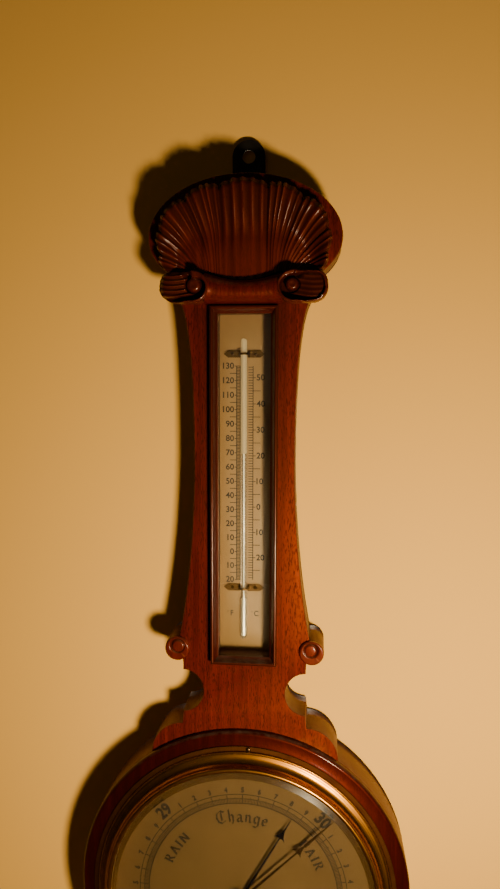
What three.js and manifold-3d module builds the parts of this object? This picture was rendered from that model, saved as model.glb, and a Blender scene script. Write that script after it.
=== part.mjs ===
// Wall barometer: a carved hardwood case with a thermometer in its trunk and an aneroid
// movement behind the round dial. Millimetres, +Z up, the front faces -Y and the back lies
// on the wall plane Y = 0. The origin is the centre of the hanging hole.
//
// Most pieces are drawn as they are seen from the front, in a turned group: x to the right,
// y up from the dial's centre, z out of the board's front face towards the viewer.

import * as THREE from 'three';
import { mergeVertices } from 'three/addons/utils/BufferGeometryUtils.js';
import Module from 'manifold-3d';

const wasm = await Module();
wasm.setup();

// Clearances
const fitGap = 0.3;
const cutOverrun = 2;

// Dial, glass and bezel; the sight is the part of the glass that shows
const sightRadius = 101.6;
const glassThickness = 3;
const glassRimThickness = 0.9;
const glassBevelWidth = 4;
const spacerWall = 1.9;
const bezelWidth = 16;
const bezelFlangeWidth = 4.2;
const bezelSheet = 0.9;
const bezelRidgeHeight = 1.5;
const bezelRidgeWidth = 0.9;
const bezelCoveHeight = 6.8;
const bezelBeadRadius = 2;
const bezelLipWidth = 2.7;
const bezelScrewHeadRadius = 1.8;
const bezelScrewHeadHeight = 1.2;
const bezelScrewShankRadius = 0.9;
const bezelScrewBite = 6;
const dialMargin = 6.4;
const dialThickness = 1.3;
const dialHoleRadius = 3;

// Turned ring round the dial, and the round well under it
const ringBorder = 10.4;
const ringHeight = 6.1;
const ringEdgeHeight = 3.4;
const ringArrisWidth = 1.3;
const ringLedge = 12;
const wellStep = 4;

// Hands
const pointerTipClearance = 26.1;
const pointerCrescentDrop = 14;
const pointerTailLength = 26;
const pointerThickness = 0.5;
const pointerLift = 3.4;
const pointerBossRadius = 3.6;
const pointerBossHeight = 0.8;
const setHandTipClearance = 5.6;
const setHandCrescentDrop = 32.5;
const setHandTailLength = 18;
const setHandThickness = 0.5;
const setHandBossRadius = 4.6;
const handBarHalfWidth = 0.9;
const crescentHalfWidth = 5.2;
const knobRadius = 8;
const knobHeight = 5.2;
const knobSpindleRadius = 1.4;
const washerRadius = 3;
const washerThickness = 0.5;

// Case board: crest oval, trunk, scroll lobes, neck, round body and base, in one plank
const ovoloRun = 24.3;
const ovoloRise = 24.5;
const neckFilletHeight = 10;
const neckFilletStep = 0.9;
const neckNotchHeight = 32.8;
const neckNotchDepth = 15.7;
const shoulderHalfWidth = 47;
const shoulderFilletHeight = 5.2;
const scrollRise = 12.2;
const scrollCentreX = 51.2;
const scrollRadius = 9.3;
const trunkWaistHalfWidth = 37.3;
const trunkTopHalfWidth = 46.5;
const trunkTopMargin = 1.8;
const crestHalfWidth = 70.5;
const crestRise = 45.5;
const crestFall = 41;
const crestCentreRise = 47;
const crestSkirtHeight = 22;
const baseCoveRun = 13.3;
const baseCoveHeight = 13.8;
const baseFilletHeight = 3.5;
const pendantHalfWidth = 30;
const pendantDrop = 24.5;

// Thermometer
const openingDrop = 4.6;
const openingHeight = 257;
const openingHalfWidth = 19.5;
const frameWidth = 5.4;
const frameFaceWidth = 3.4;
const frameHeight = 6.4;
const frameLipHeight = 0.7;
const recessMargin = 1.1;
const recessDepth = 16.8;
const thermometerGlassThickness = 2;
const glassLedge = 1.8;
const plateThickness = 1.5;
const tubeRadius = 2.6;
const tubeBoreRadius = 1;
const tubeSetover = 1.5;
const tubeTopMargin = 16.8;
const bulbFootMargin = 9.2;
const bulbLength = 34;
const bulbRadius = 3;
const bulbBoreRadius = 2.1;
const bulbMouthRadius = 0.7;
const tubeNeckLength = 6;
const clipHalfWidth = 15.6;
const clipHeight = 5.4;
const clipThickness = 0.6;
const clipDrop = 11.8;
const clipPinInset = 6.8;
const pinRadius = 0.6;
const pinHeadRadius = 1.1;
const pinHeadHeight = 0.6;
const pinLength = 6;

// Carving on the crest
const rollHalfLength = 22.5;
const rollSeat = 1.2;
const rollRise = 17.1;
const rollDepth = 15;
const voluteHalfWidth = 17.6;
const voluteHalfHeight = 11.3;
const voluteInset = 2.4;
const voluteDepth = 12;
const voluteRimRadius = 2.6;
const shellBorder = 9;
const shellTopBorder = 8.5;
const shellBaseOverlap = 2;
const shellRootHeight = 4;
const shellRimHeight = 13;

// Hanging plate
const hangHoleRise = 20.5;
const hangHoleRadius = 5;
const hangerHalfWidth = 12.5;
const hangerThickness = 2.4;
const hangerTail = 48;
const hangerScrewDrop = 29;
const hangerScrewPitch = 13;

// Wood and machine screws
const screwShankRadius = 1.5;
const screwHeadRadius = 2.9;
const screwHeadHeight = 1.1;
const screwBite = 11;
const slotWidth = 0.7;
const slotDepth = 0.5;

// Back cover
const coverLap = 6.2;
const coverThickness = 1.2;
const coverSink = 1.4;
const coverHoleRadius = 5;

// Movement: capsule, spring and plates
const capsuleRadius = 31;
const capsuleBossRadius = 6;
const capsuleBossHeight = 1.3;
const capsuleThickness = 7;
const capsuleRipple = 1.2;
const capsuleRipples = 5;
const capsuleTopBossRadius = 4.4;
const capsuleTopBossHeight = 0.8;
const postRadius = 1.6;
const postHeadRadius = 3;
const postHeadHeight = 1.2;
const postRise = 3.9;
const leafThickness = 1.2;
const leafRootHalfWidth = 20;
const leafTipHalfWidth = 5.5;
const leafTipReach = 13;
const leafScrewSpread = 12;
const leafScrewRadius = 1.2;
const leafScrewHeadRadius = 2.2;
const leafScrewHeadHeight = 1.2;
const bridgeSetback = 7;
const bridgeHalfSpan = 34;
const bridgeLegWidth = 6;
const bridgeBarThickness = 3;
const bridgeHalfWidth = 4;
const pillarRadius = 3;
const pillarFootRadius = 4.2;
const pillarFootHeight = 1.6;
const pillarRoom = 3.8;
const basePlateMargin = 6;
const basePlateThickness = 2;
const basePlateLift = 3.5;
const adjusterRadius = 1.7;
const adjusterHeadRadius = 3.2;
const adjusterHeadHeight = 1.1;
const adjusterDepth = 1.4;

// Movement: levers
const leverHalfWidth = 2.2;
const leverThickness = 1.4;
const linkLength = 6.2;
const linkPinRadius = 0.6;
const linkPinLength = 2;
const linkSlack = 0.8;
const linkHalfWidth = 2.2;
const linkThickness = 1.1;
const rockerSetback = 7;
const rockerRadius = 1.2;
const rockerPivotRadius = 0.8;
const rockerHalfLength = 17.6;
const rockerPostHalfWidth = 2;
const rockerPostHeadroom = 2.4;
const shortArmLength = 4.5;
const shortArmWidth = 1.8;
const shortArmHalfThickness = 1;
const chainArmWidth = 1.2;
const chainArmHalfDepth = 1.2;
const chainRadius = 0.3;

// Movement: pointer arbor and its bridge
const arborRadius = 0.9;
const arborPivotRadius = 0.5;
const drumRadius = 1.1;
const drumHalfLength = 1.2;
const collarRadius = 1.6;
const collarHeight = 1.5;
const cageHeadroom = 1;
const cageTopThickness = 1;
const cageWindowHeight = 12;
const cageBarThickness = 1.2;
const cageFootroom = 3.5;
const cageHalfWindow = 12;
const cageUprightWidth = 2;
const cageHalfWidth = 3;
const cageLegRoom = 3.5;
const cageLegWidth = 3;
const hairspringInnerRadius = 2.4;
const hairspringOuterRadius = 8.6;
const hairspringTurns = 4;
const hairspringThickness = 0.25;
const hairspringHeight = 0.9;
const hairspringRise = 6.3;

// Angles
const halfTurn = Math.PI;
const quarterTurn = Math.PI / 2;
const fullTurn = 2 * Math.PI;
const pointerAngle = THREE.MathUtils.degToRad(30);
const setHandAngle = THREE.MathUtils.degToRad(46);
const bezelTurn = THREE.MathUtils.degToRad(-2.1);

// Radii that follow from the sight of the glass
const bezelRadius = sightRadius + bezelWidth;
const bezelWallRadius = sightRadius + bezelLipWidth;
const glassRadius = bezelWallRadius - fitGap;
const dialRadius = sightRadius + dialMargin;
const ringInnerRadius = dialRadius - ringLedge;
const wellRadius = ringInnerRadius - wellStep;
const roundRadius = bezelRadius + ringBorder;
const coverRadius = wellRadius + coverLap;
const coverScrewCircle = wellRadius + coverLap / 2;
const pointerLength = sightRadius - pointerTipClearance;
const setHandLength = sightRadius - setHandTipClearance;

// Depths, counted from the board's front face: out to the knob and in to the wall
const ringFoot = fitGap;
const ringTop = ringFoot + ringHeight;
const flangeBack = ringTop + fitGap;
const flangeTop = flangeBack + bezelSheet;
const ridgeTop = flangeTop + bezelRidgeHeight;
const beadCentreZ = ridgeTop + bezelCoveHeight;
const glassRimTop = beadCentreZ - fitGap;
const glassBack = glassRimTop - glassRimThickness;
const glassFront = glassBack + glassThickness;
const dialBack = ringTop + fitGap;
const dialFront = dialBack + dialThickness;
const pointerBack = dialFront + pointerLift;
const setHandBack = glassBack - fitGap - setHandThickness;
const cageTop = dialBack - cageHeadroom;
const cageTopBack = cageTop - cageTopThickness;
const cageBarFront = cageTopBack - cageWindowHeight;
const cageBarBack = cageBarFront - cageBarThickness;
const chainHeight = cageTopBack - fitGap - drumHalfLength;
const leverFront = cageBarBack - cageFootroom;
const leverBack = leverFront - leverThickness;
const leverMiddle = (leverFront + leverBack) / 2;
const rockerZ = leverMiddle + linkLength;
const leafFront = leverBack - fitGap;
const leafBack = leafFront - leafThickness;
const postFoot = leafBack - postRise;
const capsuleTop = postFoot - fitGap - capsuleTopBossHeight;
const capsuleBottom = capsuleTop - capsuleThickness;
const capsuleFoot = capsuleBottom - capsuleBossHeight;
const legFoot = capsuleFoot;
const basePlateFront = legFoot - fitGap;
const basePlateBack = basePlateFront - basePlateThickness;
const wallZ = basePlateBack - basePlateLift;
const boardDepth = -wallZ;
const coverBack = wallZ + coverSink;
const coverFront = coverBack + coverThickness;
const hangerFront = wallZ + hangerThickness;
const plateBack = -recessDepth + fitGap;
const plateFront = plateBack + plateThickness;
const tubeCentreX = -tubeSetover;
const tubeCentreZ = plateFront + fitGap + Math.max(tubeRadius, bulbRadius);

// Heights above the dial's centre
const ovoloEndX = shoulderHalfWidth + neckFilletStep + ovoloRun;
const ovoloEndY = Math.sqrt(roundRadius ** 2 - ovoloEndX ** 2);
const neckFilletFoot = ovoloEndY + ovoloRise;
const neckBottom = neckFilletFoot + neckFilletHeight;
const neckTop = neckBottom + neckNotchHeight;
const shoulderTop = neckTop + shoulderFilletHeight;
const scrollHeight = shoulderTop + scrollRise;
const openingBottom = scrollHeight - openingDrop;
const openingTop = openingBottom + openingHeight;
const openingMiddle = (openingBottom + openingTop) / 2;
const openingHalfHeight = openingHeight / 2;
const trunkTop = openingTop + frameWidth + trunkTopMargin;
const rollBottom = openingTop + frameWidth + rollSeat;
const voluteCentreY = rollBottom + voluteHalfHeight;
const voluteTop = voluteCentreY + voluteHalfHeight;
const crestCentre = trunkTop + crestCentreRise;
const crestTop = crestCentre + crestRise;
const hangHoleHeight = crestTop + hangHoleRise;
const bulbBottom = openingBottom + bulbFootMargin;
const bulbTop = bulbBottom + bulbLength;
const tubeNeck = bulbTop + tubeNeckLength;
const tubeTop = openingTop - tubeTopMargin;
const upperClipHeight = tubeTop - clipDrop;
const lowerClipHeight = tubeNeck;

// Places of the movement's pieces, measured from the pointer's axis
const springHinge = capsuleRadius + bridgeSetback;
const rockerDrop = capsuleRadius + rockerSetback;
const linkDrop = rockerDrop + shortArmLength;
const pillarCircle = springHinge + bridgeHalfWidth + pillarFootRadius + pillarRoom;
const basePlateRadius = pillarCircle + basePlateMargin;
const cageLegInner = capsuleRadius + cageLegRoom;
const cageLegOuter = cageLegInner + cageLegWidth;

// How finely curves are divided
const woodSegments = 72;
const ringSegments = 52;
const plateSegments = 40;
const capsuleSegments = 24;
const knobSegments = 20;
const smallSegments = 16;
const hangerSegments = 14;
const tubeSegments = 12;
const clipSegments = 10;
const outlineSegments = 9;
const pinSegments = 8;
const beadSegments = 4;
const coveSegments = 3;
const mergeTolerance = 1e-5;

// Materials
const wood = (color) => new THREE.MeshStandardMaterial({ color, roughness: 0.42, metalness: 0 });
const metal = (color, roughness) => new THREE.MeshStandardMaterial({ color, roughness, metalness: 1 });
const mahogany = wood('#6e2a12');
const redMahogany = wood('#4a1209');
const carvedWood = wood('#551c0c');
const brass = metal('#b7832f', 0.28);
const paleBrass = metal('#c59a4c', 0.4);
const blackIron = metal('#1b1a19', 0.6);
const steel = metal('#8f9296', 0.35);
const bluedSteel = metal('#161a2c', 0.3);
const nickelSilver = metal('#c9c6bb', 0.35);
const quicksilver = metal('#c8ccd0', 0.1);
const silvered = new THREE.MeshStandardMaterial({ color: '#cbb98c', roughness: 0.5, metalness: 0.3 });
const ivorine = new THREE.MeshStandardMaterial({ color: '#e2d3ab', roughness: 0.45 });
const glass = new THREE.MeshStandardMaterial({
  color: '#dfe8e4', roughness: 0.05, transparent: true, opacity: 0.3,
});

// Geometry helpers

// A closed body ready to use: shared vertices merged, slivers dropped and faces turned out
function closed(geometry) {
  const bare = geometry.clone();
  bare.deleteAttribute('normal');
  bare.deleteAttribute('uv');
  const merged = mergeVertices(bare, mergeTolerance);
  const position = merged.getAttribute('position');
  const source = merged.getIndex().array;
  const faces = [];
  let volume = 0;
  const [a, b, c] = [new THREE.Vector3(), new THREE.Vector3(), new THREE.Vector3()];
  for (let i = 0; i < source.length; i += 3) {
    const [ia, ib, ic] = [source[i], source[i + 1], source[i + 2]];
    if (ia === ib || ib === ic || ic === ia) continue;
    faces.push(ia, ib, ic);
    a.fromBufferAttribute(position, ia);
    b.fromBufferAttribute(position, ib);
    c.fromBufferAttribute(position, ic);
    volume += a.dot(b.cross(c));
  }
  if (volume < 0) faces.reverse();
  merged.setIndex(faces);
  return merged;
}

function toManifold(geometry) {
  const body = closed(geometry);
  const vertProperties = Float32Array.from(body.getAttribute('position').array);
  const triVerts = Uint32Array.from(body.getIndex().array);
  return new wasm.Manifold(new wasm.Mesh({ numProp: 3, vertProperties, triVerts }));
}

function fromManifold(manifold) {
  const mesh = manifold.getMesh();
  const geometry = new THREE.BufferGeometry();
  geometry.setAttribute('position', new THREE.BufferAttribute(mesh.vertProperties, 3));
  geometry.setIndex(new THREE.BufferAttribute(mesh.triVerts, 1));
  return geometry;
}

function cut(body, ...tools) {
  let result = toManifold(body);
  for (const tool of tools) result = result.subtract(toManifold(tool));
  return fromManifold(result);
}

function join(body, ...others) {
  let result = toManifold(body);
  for (const other of others) result = result.add(toManifold(other));
  return fromManifold(result);
}

function common(body, other) {
  return fromManifold(toManifold(body).intersect(toManifold(other)));
}

// Turns a profile of [radius, z] points about the z axis; an open one starts and ends on it
function turned(profile, segments) {
  const first = profile[0];
  const last = profile[profile.length - 1];
  const points = profile.map(([r, z]) => new THREE.Vector2(r, z));
  const onAxis = first[0] === 0 && last[0] === 0;
  if (!onAxis) points.push(points[0].clone());
  return closed(new THREE.LatheGeometry(points, segments).rotateX(quarterTurn));
}

// A flat shape in x and y, filled from zBack to zFront
function slab(shape, zBack, zFront, curveSegments = smallSegments) {
  const depth = zFront - zBack;
  const geometry = new THREE.ExtrudeGeometry(shape, { depth, bevelEnabled: false, curveSegments });
  return closed(geometry.translate(0, 0, zBack));
}

function block(x0, x1, y0, y1, z0, z1) {
  const geometry = new THREE.BoxGeometry(x1 - x0, y1 - y0, z1 - z0);
  return geometry.translate((x0 + x1) / 2, (y0 + y1) / 2, (z0 + z1) / 2);
}

function shapeOf(points) {
  return new THREE.Shape(points.map(([x, y]) => new THREE.Vector2(x, y)));
}

// A section drawn in x and z, filled from yLow to yHigh
function prismAlongY(section, yLow, yHigh) {
  const depth = yHigh - yLow;
  const geometry = new THREE.ExtrudeGeometry(shapeOf(section), { depth, bevelEnabled: false });
  return closed(geometry.rotateX(quarterTurn).translate(0, yHigh, 0));
}

// A round bar along z
function rod(x, y, radius, zBack, zFront, segments = smallSegments) {
  const bar = new THREE.CylinderGeometry(radius, radius, zFront - zBack, segments);
  return bar.rotateX(quarterTurn).translate(x, y, (zBack + zFront) / 2);
}

// A round bar along x
function crossRod(y, z, radius, x0, x1, segments = pinSegments) {
  const bar = new THREE.CylinderGeometry(radius, radius, x1 - x0, segments);
  return bar.rotateZ(quarterTurn).translate((x0 + x1) / 2, y, z);
}

// A solid skin over rings of equal point counts, closed at both ends
function loft(rings) {
  const count = rings[0].length;
  const vertices = rings.flat();
  const index = [];
  for (let r = 0; r + 1 < rings.length; r += 1) {
    for (let i = 0; i < count; i += 1) {
      const a = r * count + i;
      const b = r * count + ((i + 1) % count);
      index.push(a, b, a + count, b, b + count, a + count);
    }
  }
  const fan = (ring, flip) => {
    const centre = new THREE.Vector3();
    ring.forEach((point) => centre.addScaledVector(point, 1 / count));
    const tip = vertices.push(centre) - 1;
    const start = flip ? (rings.length - 1) * count : 0;
    for (let i = 0; i < count; i += 1) {
      const a = start + i;
      const b = start + ((i + 1) % count);
      if (flip) index.push(a, b, tip);
      else index.push(b, a, tip);
    }
  };
  fan(rings[0], false);
  fan(rings[rings.length - 1], true);
  const geometry = new THREE.BufferGeometry().setFromPoints(vertices);
  geometry.setIndex(index);
  return closed(geometry);
}

// A carved face over a flat back: a grid of points from place(u, v) above z = back
function relief(columns, rows, place, back) {
  const vertices = [];
  for (let j = 0; j <= rows; j += 1) {
    for (let i = 0; i <= columns; i += 1) vertices.push(place(i / columns, j / rows));
  }
  const at = (i, j) => j * (columns + 1) + i;
  const index = [];
  for (let j = 0; j < rows; j += 1) {
    for (let i = 0; i < columns; i += 1) {
      index.push(at(i, j), at(i + 1, j), at(i, j + 1));
      index.push(at(i + 1, j), at(i + 1, j + 1), at(i, j + 1));
    }
  }
  const rim = [];
  for (let i = 0; i < columns; i += 1) rim.push(at(i, 0));
  for (let j = 0; j < rows; j += 1) rim.push(at(columns, j));
  for (let i = columns; i > 0; i -= 1) rim.push(at(i, rows));
  for (let j = rows; j > 0; j -= 1) rim.push(at(0, j));
  const foot = rim.map((n) => vertices.push(new THREE.Vector3(vertices[n].x, vertices[n].y, back)) - 1);
  for (let k = 0; k < rim.length; k += 1) {
    const next = (k + 1) % rim.length;
    index.push(rim[next], rim[k], foot[k], rim[next], foot[k], foot[next]);
  }
  const outline = foot.map((n) => new THREE.Vector2(vertices[n].x, vertices[n].y));
  for (const [a, b, c] of THREE.ShapeUtils.triangulateShape(outline, [])) {
    index.push(foot[c], foot[b], foot[a]);
  }
  const geometry = new THREE.BufferGeometry().setFromPoints(vertices);
  geometry.setIndex(index);
  return closed(geometry);
}

// Points of an ellipse's arc, ends included
function arcPoints(cx, cy, rx, ry, from, to, steps) {
  return Array.from({ length: steps + 1 }, (_, i) => {
    const angle = from + ((to - from) * i) / steps;
    return [cx + rx * Math.cos(angle), cy + ry * Math.sin(angle)];
  });
}

function ringOf(count, radius, turn) {
  return Array.from({ length: count }, (_, i) => {
    const angle = turn + (fullTurn * i) / count;
    return { angle, x: radius * Math.cos(angle), y: radius * Math.sin(angle) };
  });
}

// Groups: the front group stands on the board's face with the dial's centre as its origin
const group = new THREE.Group();
const front = new THREE.Group();
front.rotation.x = quarterTurn;
front.position.set(0, -boardDepth, -hangHoleHeight);
group.add(front);

function add(name, geometry, material) {
  const mesh = new THREE.Mesh(geometry, material);
  mesh.name = name;
  front.add(mesh);
  return mesh;
}

// Screws: a slotted head with its shank below, pointing along -z from the head's underside
function slottedScrew(headRadius, headHeight, shankRadius, bite) {
  const profile = [[0, -bite], [shankRadius, -bite], [shankRadius, 0], [headRadius, 0]];
  profile.push([headRadius, headHeight], [0, headHeight]);
  const blank = turned(profile, pinSegments);
  const reach = headRadius + cutOverrun;
  const half = slotWidth / 2;
  const slot = block(-reach, reach, -half, half, headHeight - slotDepth, headHeight + cutOverrun);
  return cut(blank, slot);
}

// Case board

const crestEndAngle = Math.asin((crestCentreRise - crestSkirtHeight) / crestFall);
const roundMeetAngle = Math.atan2(ovoloEndY, ovoloEndX);
const scrollStartAngle = THREE.MathUtils.degToRad(100);
const scrollEndAngle = THREE.MathUtils.degToRad(-115);

// Handle lengths of the trunk's curves, as shares of the drop and the flare they span
const trunkWaistShare = 0.443;
const trunkTopHandleShares = { inward: 0.79, firstDrop: 0.17, lastDrop: 0.43 };
const trunkFootHandleShares = { firstDrop: 0.33, lastDrop: 0.29, outward: 0.35 };

function boardRightSide() {
  const side = new THREE.Path();
  side.moveTo(0, crestTop);
  side.absellipse(0, crestCentre, crestHalfWidth, crestRise, quarterTurn, 0, true);
  side.absellipse(0, crestCentre, crestHalfWidth, crestFall, 0, -crestEndAngle, true);
  side.lineTo(trunkTopHalfWidth, trunkTop);

  const waist = trunkTop - (trunkTop - scrollHeight) * trunkWaistShare;
  const topFlare = trunkTopHalfWidth - trunkWaistHalfWidth;
  const topDrop = trunkTop - waist;
  const top = trunkTopHandleShares;
  side.bezierCurveTo(
    trunkTopHalfWidth - topFlare * top.inward, trunkTop - topDrop * top.firstDrop,
    trunkWaistHalfWidth, waist + topDrop * top.lastDrop,
    trunkWaistHalfWidth, waist,
  );

  const footX = scrollCentreX + scrollRadius * Math.cos(scrollStartAngle);
  const footY = scrollHeight + scrollRadius * Math.sin(scrollStartAngle);
  const footDrop = waist - footY;
  const foot = trunkFootHandleShares;
  side.bezierCurveTo(
    trunkWaistHalfWidth, waist - footDrop * foot.firstDrop,
    trunkWaistHalfWidth + (footX - trunkWaistHalfWidth) * foot.outward, footY + footDrop * foot.lastDrop,
    footX, footY,
  );
  side.absarc(scrollCentreX, scrollHeight, scrollRadius, scrollStartAngle, scrollEndAngle, true);

  const notchMiddle = (neckTop + neckBottom) / 2;
  const notchHalf = neckNotchHeight / 2;
  const neckX = shoulderHalfWidth;
  const ovoloX = neckX + neckFilletStep;
  side.lineTo(neckX, shoulderTop);
  side.lineTo(neckX, neckTop);
  side.absellipse(
    neckX, notchMiddle, neckNotchDepth, notchHalf, quarterTurn, halfTurn + quarterTurn, false,
  );
  side.lineTo(ovoloX, neckFilletFoot);
  side.absellipse(ovoloX, ovoloEndY, ovoloRun, ovoloRise, quarterTurn, 0, true);
  side.absarc(0, 0, roundRadius, roundMeetAngle, -roundMeetAngle, true);
  side.absellipse(ovoloX, -ovoloEndY, ovoloRun, ovoloRise, 0, -quarterTurn, true);
  side.lineTo(neckX, -neckBottom);

  const coveBottom = -neckBottom - baseCoveHeight;
  const pendantTop = coveBottom - baseFilletHeight;
  side.absellipse(neckX, coveBottom, baseCoveRun, baseCoveHeight, quarterTurn, halfTurn, false);
  side.lineTo(neckX - baseCoveRun, pendantTop);
  side.lineTo(pendantHalfWidth, pendantTop);
  side.absellipse(0, pendantTop, pendantHalfWidth, pendantDrop, 0, -quarterTurn, true);
  return side.getPoints(outlineSegments);
}

function boardOutline() {
  const right = boardRightSide();
  const left = right.slice(1, -1).reverse().map((point) => new THREE.Vector2(-point.x, point.y));
  return new THREE.Shape([...right, ...left]);
}

const hangerBottom = hangHoleHeight - hangerTail;
const hangerScrewHeights = [0, 1].map((i) => hangHoleHeight - hangerScrewDrop - i * hangerScrewPitch);
const recessHalfWidth = openingHalfWidth + recessMargin;
const recessHalfHeight = openingHalfHeight + recessMargin;
const ledgeHalfWidth = recessHalfWidth + glassLedge;
const ledgeHalfHeight = recessHalfHeight + glassLedge;
const ledgeDepth = fitGap + thermometerGlassThickness + fitGap;
const coverScrewPlaces = ringOf(3, coverScrewCircle, quarterTurn);
const bezelScrewCircle = bezelRadius - bezelFlangeWidth / 2;
const bezelScrewPlaces = ringOf(3, bezelScrewCircle, quarterTurn + bezelTurn);
const clipHeights = [upperClipHeight, lowerClipHeight];
const clipPinSpread = clipHalfWidth - clipPinInset;

function thermometerBlock(halfWidth, halfHeight, zBack, zFront) {
  const low = openingMiddle - halfHeight;
  return block(-halfWidth, halfWidth, low, openingMiddle + halfHeight, zBack, zFront);
}

function caseBoard() {
  const outline = boardOutline();
  const well = new THREE.Path().absarc(0, 0, wellRadius, 0, fullTurn, false);
  outline.holes.push(well);
  const plank = slab(outline, wallZ, 0, woodSegments);
  const overFront = cutOverrun;
  const behind = wallZ - cutOverrun;
  const above = crestTop + cutOverrun;
  const hangerSide = hangerHalfWidth + fitGap;
  const shankHole = screwShankRadius + fitGap;
  const tools = [
    thermometerBlock(recessHalfWidth, recessHalfHeight, -recessDepth, overFront),
    thermometerBlock(ledgeHalfWidth, ledgeHalfHeight, -ledgeDepth, overFront),
    rod(0, 0, coverRadius + fitGap, behind, coverFront + fitGap, woodSegments),
    block(-hangerSide, hangerSide, hangerBottom - fitGap, above, behind, hangerFront + fitGap),
  ];
  for (const height of hangerScrewHeights) {
    tools.push(rod(0, height, shankHole, behind, hangerFront + screwBite + fitGap, pinSegments));
  }
  for (const place of coverScrewPlaces) {
    tools.push(rod(place.x, place.y, shankHole, behind, coverBack + screwBite + fitGap, pinSegments));
  }
  for (const place of bezelScrewPlaces) {
    const hole = bezelScrewShankRadius + fitGap;
    tools.push(rod(place.x, place.y, hole, ringTop - bezelScrewBite - cutOverrun, overFront, pinSegments));
  }
  const pinHole = pinRadius + fitGap;
  const pinFloor = plateFront - pinLength - cutOverrun;
  for (const height of clipHeights) {
    for (const side of [-1, 1]) {
      tools.push(rod(tubeCentreX + side * clipPinSpread, height, pinHole, pinFloor, 0, pinSegments));
    }
  }
  return cut(plank, ...tools);
}

add('case_board', caseBoard(), mahogany);

// Carved shoulder scrolls: a boss and a raised ring between two grooves

const scrollFaceHeight = 2.6;
const scrollGrooveDepth = 1.5;
const scrollRingShares = {
  boss: 0.3, innerGroove: 0.42, ring: 0.56, ringEdge: 0.74, outerGroove: 0.82, rim: 0.96,
};

function shoulderScroll() {
  const high = fitGap + scrollFaceHeight;
  const low = high - scrollGrooveDepth;
  const share = scrollRingShares;
  const profile = [
    [0, fitGap], [scrollRadius * share.rim, fitGap], [scrollRadius * share.rim, low],
    [scrollRadius * share.outerGroove, low], [scrollRadius * share.ringEdge, high],
    [scrollRadius * share.ring, high], [scrollRadius * share.innerGroove, low],
    [scrollRadius * share.boss, high], [0, high],
  ];
  return turned(profile, knobSegments);
}

for (const [side, name] of [[-1, 'shoulder_scroll_left'], [1, 'shoulder_scroll_right']]) {
  add(name, shoulderScroll(), carvedWood).position.set(side * scrollCentreX, scrollHeight, 0);
}

// Crest: the fluted shell

const shellHalfWidth = crestHalfWidth - shellBorder;
const shellRise = crestRise - shellTopBorder;
const shellBaseHalfWidth = rollHalfLength + shellBaseOverlap;
const shellFanAngle = quarterTurn + Math.asin((crestCentre - voluteTop - fitGap) / crestFall);
const shellLeanAngle = THREE.MathUtils.degToRad(88);
const shellLobes = 7;
const shellRibs = 24;
const shellRows = 8;
const shellHandleShare = 0.42;
const shellScallopShare = 0.06;
const shellRibShare = 0.07;
const shellCurlShare = 0.93;
const shellRimDropShare = 0.75;
const shellDishPower = 1.7;

function rollTopAt(x) {
  const flare = 2 * voluteHalfHeight - rollRise;
  return rollBottom + rollRise + flare * (x / rollHalfLength) ** 2;
}

function shellPoint(u, v) {
  const side = 2 * u - 1;
  const baseX = shellBaseHalfWidth * side;
  const baseY = rollTopAt(baseX) + fitGap;
  const rimAngle = quarterTurn - side * shellFanAngle;
  const rimY = Math.sin(rimAngle) * (Math.sin(rimAngle) > 0 ? shellRise : crestFall);
  const rim = new THREE.Vector2(shellHalfWidth * Math.cos(rimAngle), crestCentre + rimY);
  const base = new THREE.Vector2(baseX, baseY);
  const lobe = Math.abs(Math.cos((side * shellLobes * Math.PI) / 2));
  rim.lerp(base, shellScallopShare * (1 - lobe));
  const handle = shellHandleShare * base.distanceTo(rim);
  const lean = side * shellLeanAngle;
  const middle = new THREE.Vector2(baseX + handle * Math.sin(lean), baseY + handle * Math.cos(lean));
  const flat = new THREE.QuadraticBezierCurve(base, middle, rim).getPoint(v);
  const depth = shellRimHeight - shellRootHeight;
  const dish = shellRootHeight + depth * Math.min(v / shellCurlShare, 1) ** shellDishPower;
  const curl = v > shellCurlShare ? (v - shellCurlShare) / (1 - shellCurlShare) : 0;
  const fade = Math.min(1, 2 * v);
  const rib = shellRibShare * depth * fade * Math.cos(side * shellRibs * Math.PI);
  return new THREE.Vector3(flat.x, flat.y, fitGap + dish * (1 - curl * (1 - shellRimDropShare)) + rib);
}

add('shell_crest', relief(2 * shellRibs, shellRows, shellPoint, fitGap), carvedWood);

// Crest: the half-round roll under the shell, waisted in the middle

function crestRoll() {
  const stations = 10;
  const steps = 10;
  const rings = [];
  for (let s = 0; s <= stations; s += 1) {
    const x = rollHalfLength * ((2 * s) / stations - 1);
    const radius = (rollTopAt(x) - rollBottom) / 2;
    const section = arcPoints(rollBottom + radius, fitGap, radius, rollDepth, 0, halfTurn, steps);
    rings.push(section.map(([y, z]) => new THREE.Vector3(x, y, z)));
  }
  return loft(rings);
}

add('crest_roll', crestRoll(), carvedWood);

// Crest: the volutes at both ends of the roll, an oval body with a spiral rim on it

const voluteCentreX = rollHalfLength + voluteInset + voluteHalfWidth;
const voluteTurns = 1.35;
const voluteStartAngle = THREE.MathUtils.degToRad(-124);
const voluteEndShare = 0.42;
const voluteTaperShare = 0.25;
const voluteShoulderShare = 0.8;
const voluteTopShare = 0.62;

function voluteBody() {
  const steps = 20;
  const levels = [
    { share: 1, z: fitGap },
    { share: 1, z: voluteDepth * voluteTopShare },
    { share: voluteShoulderShare, z: voluteDepth },
  ];
  const rings = levels.map(({ share, z }) => {
    const oval = arcPoints(0, 0, voluteHalfWidth * share, voluteHalfHeight * share, 0, fullTurn, steps);
    return oval.slice(0, steps).map(([x, y]) => new THREE.Vector3(x, y, z));
  });
  return loft(rings);
}

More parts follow.
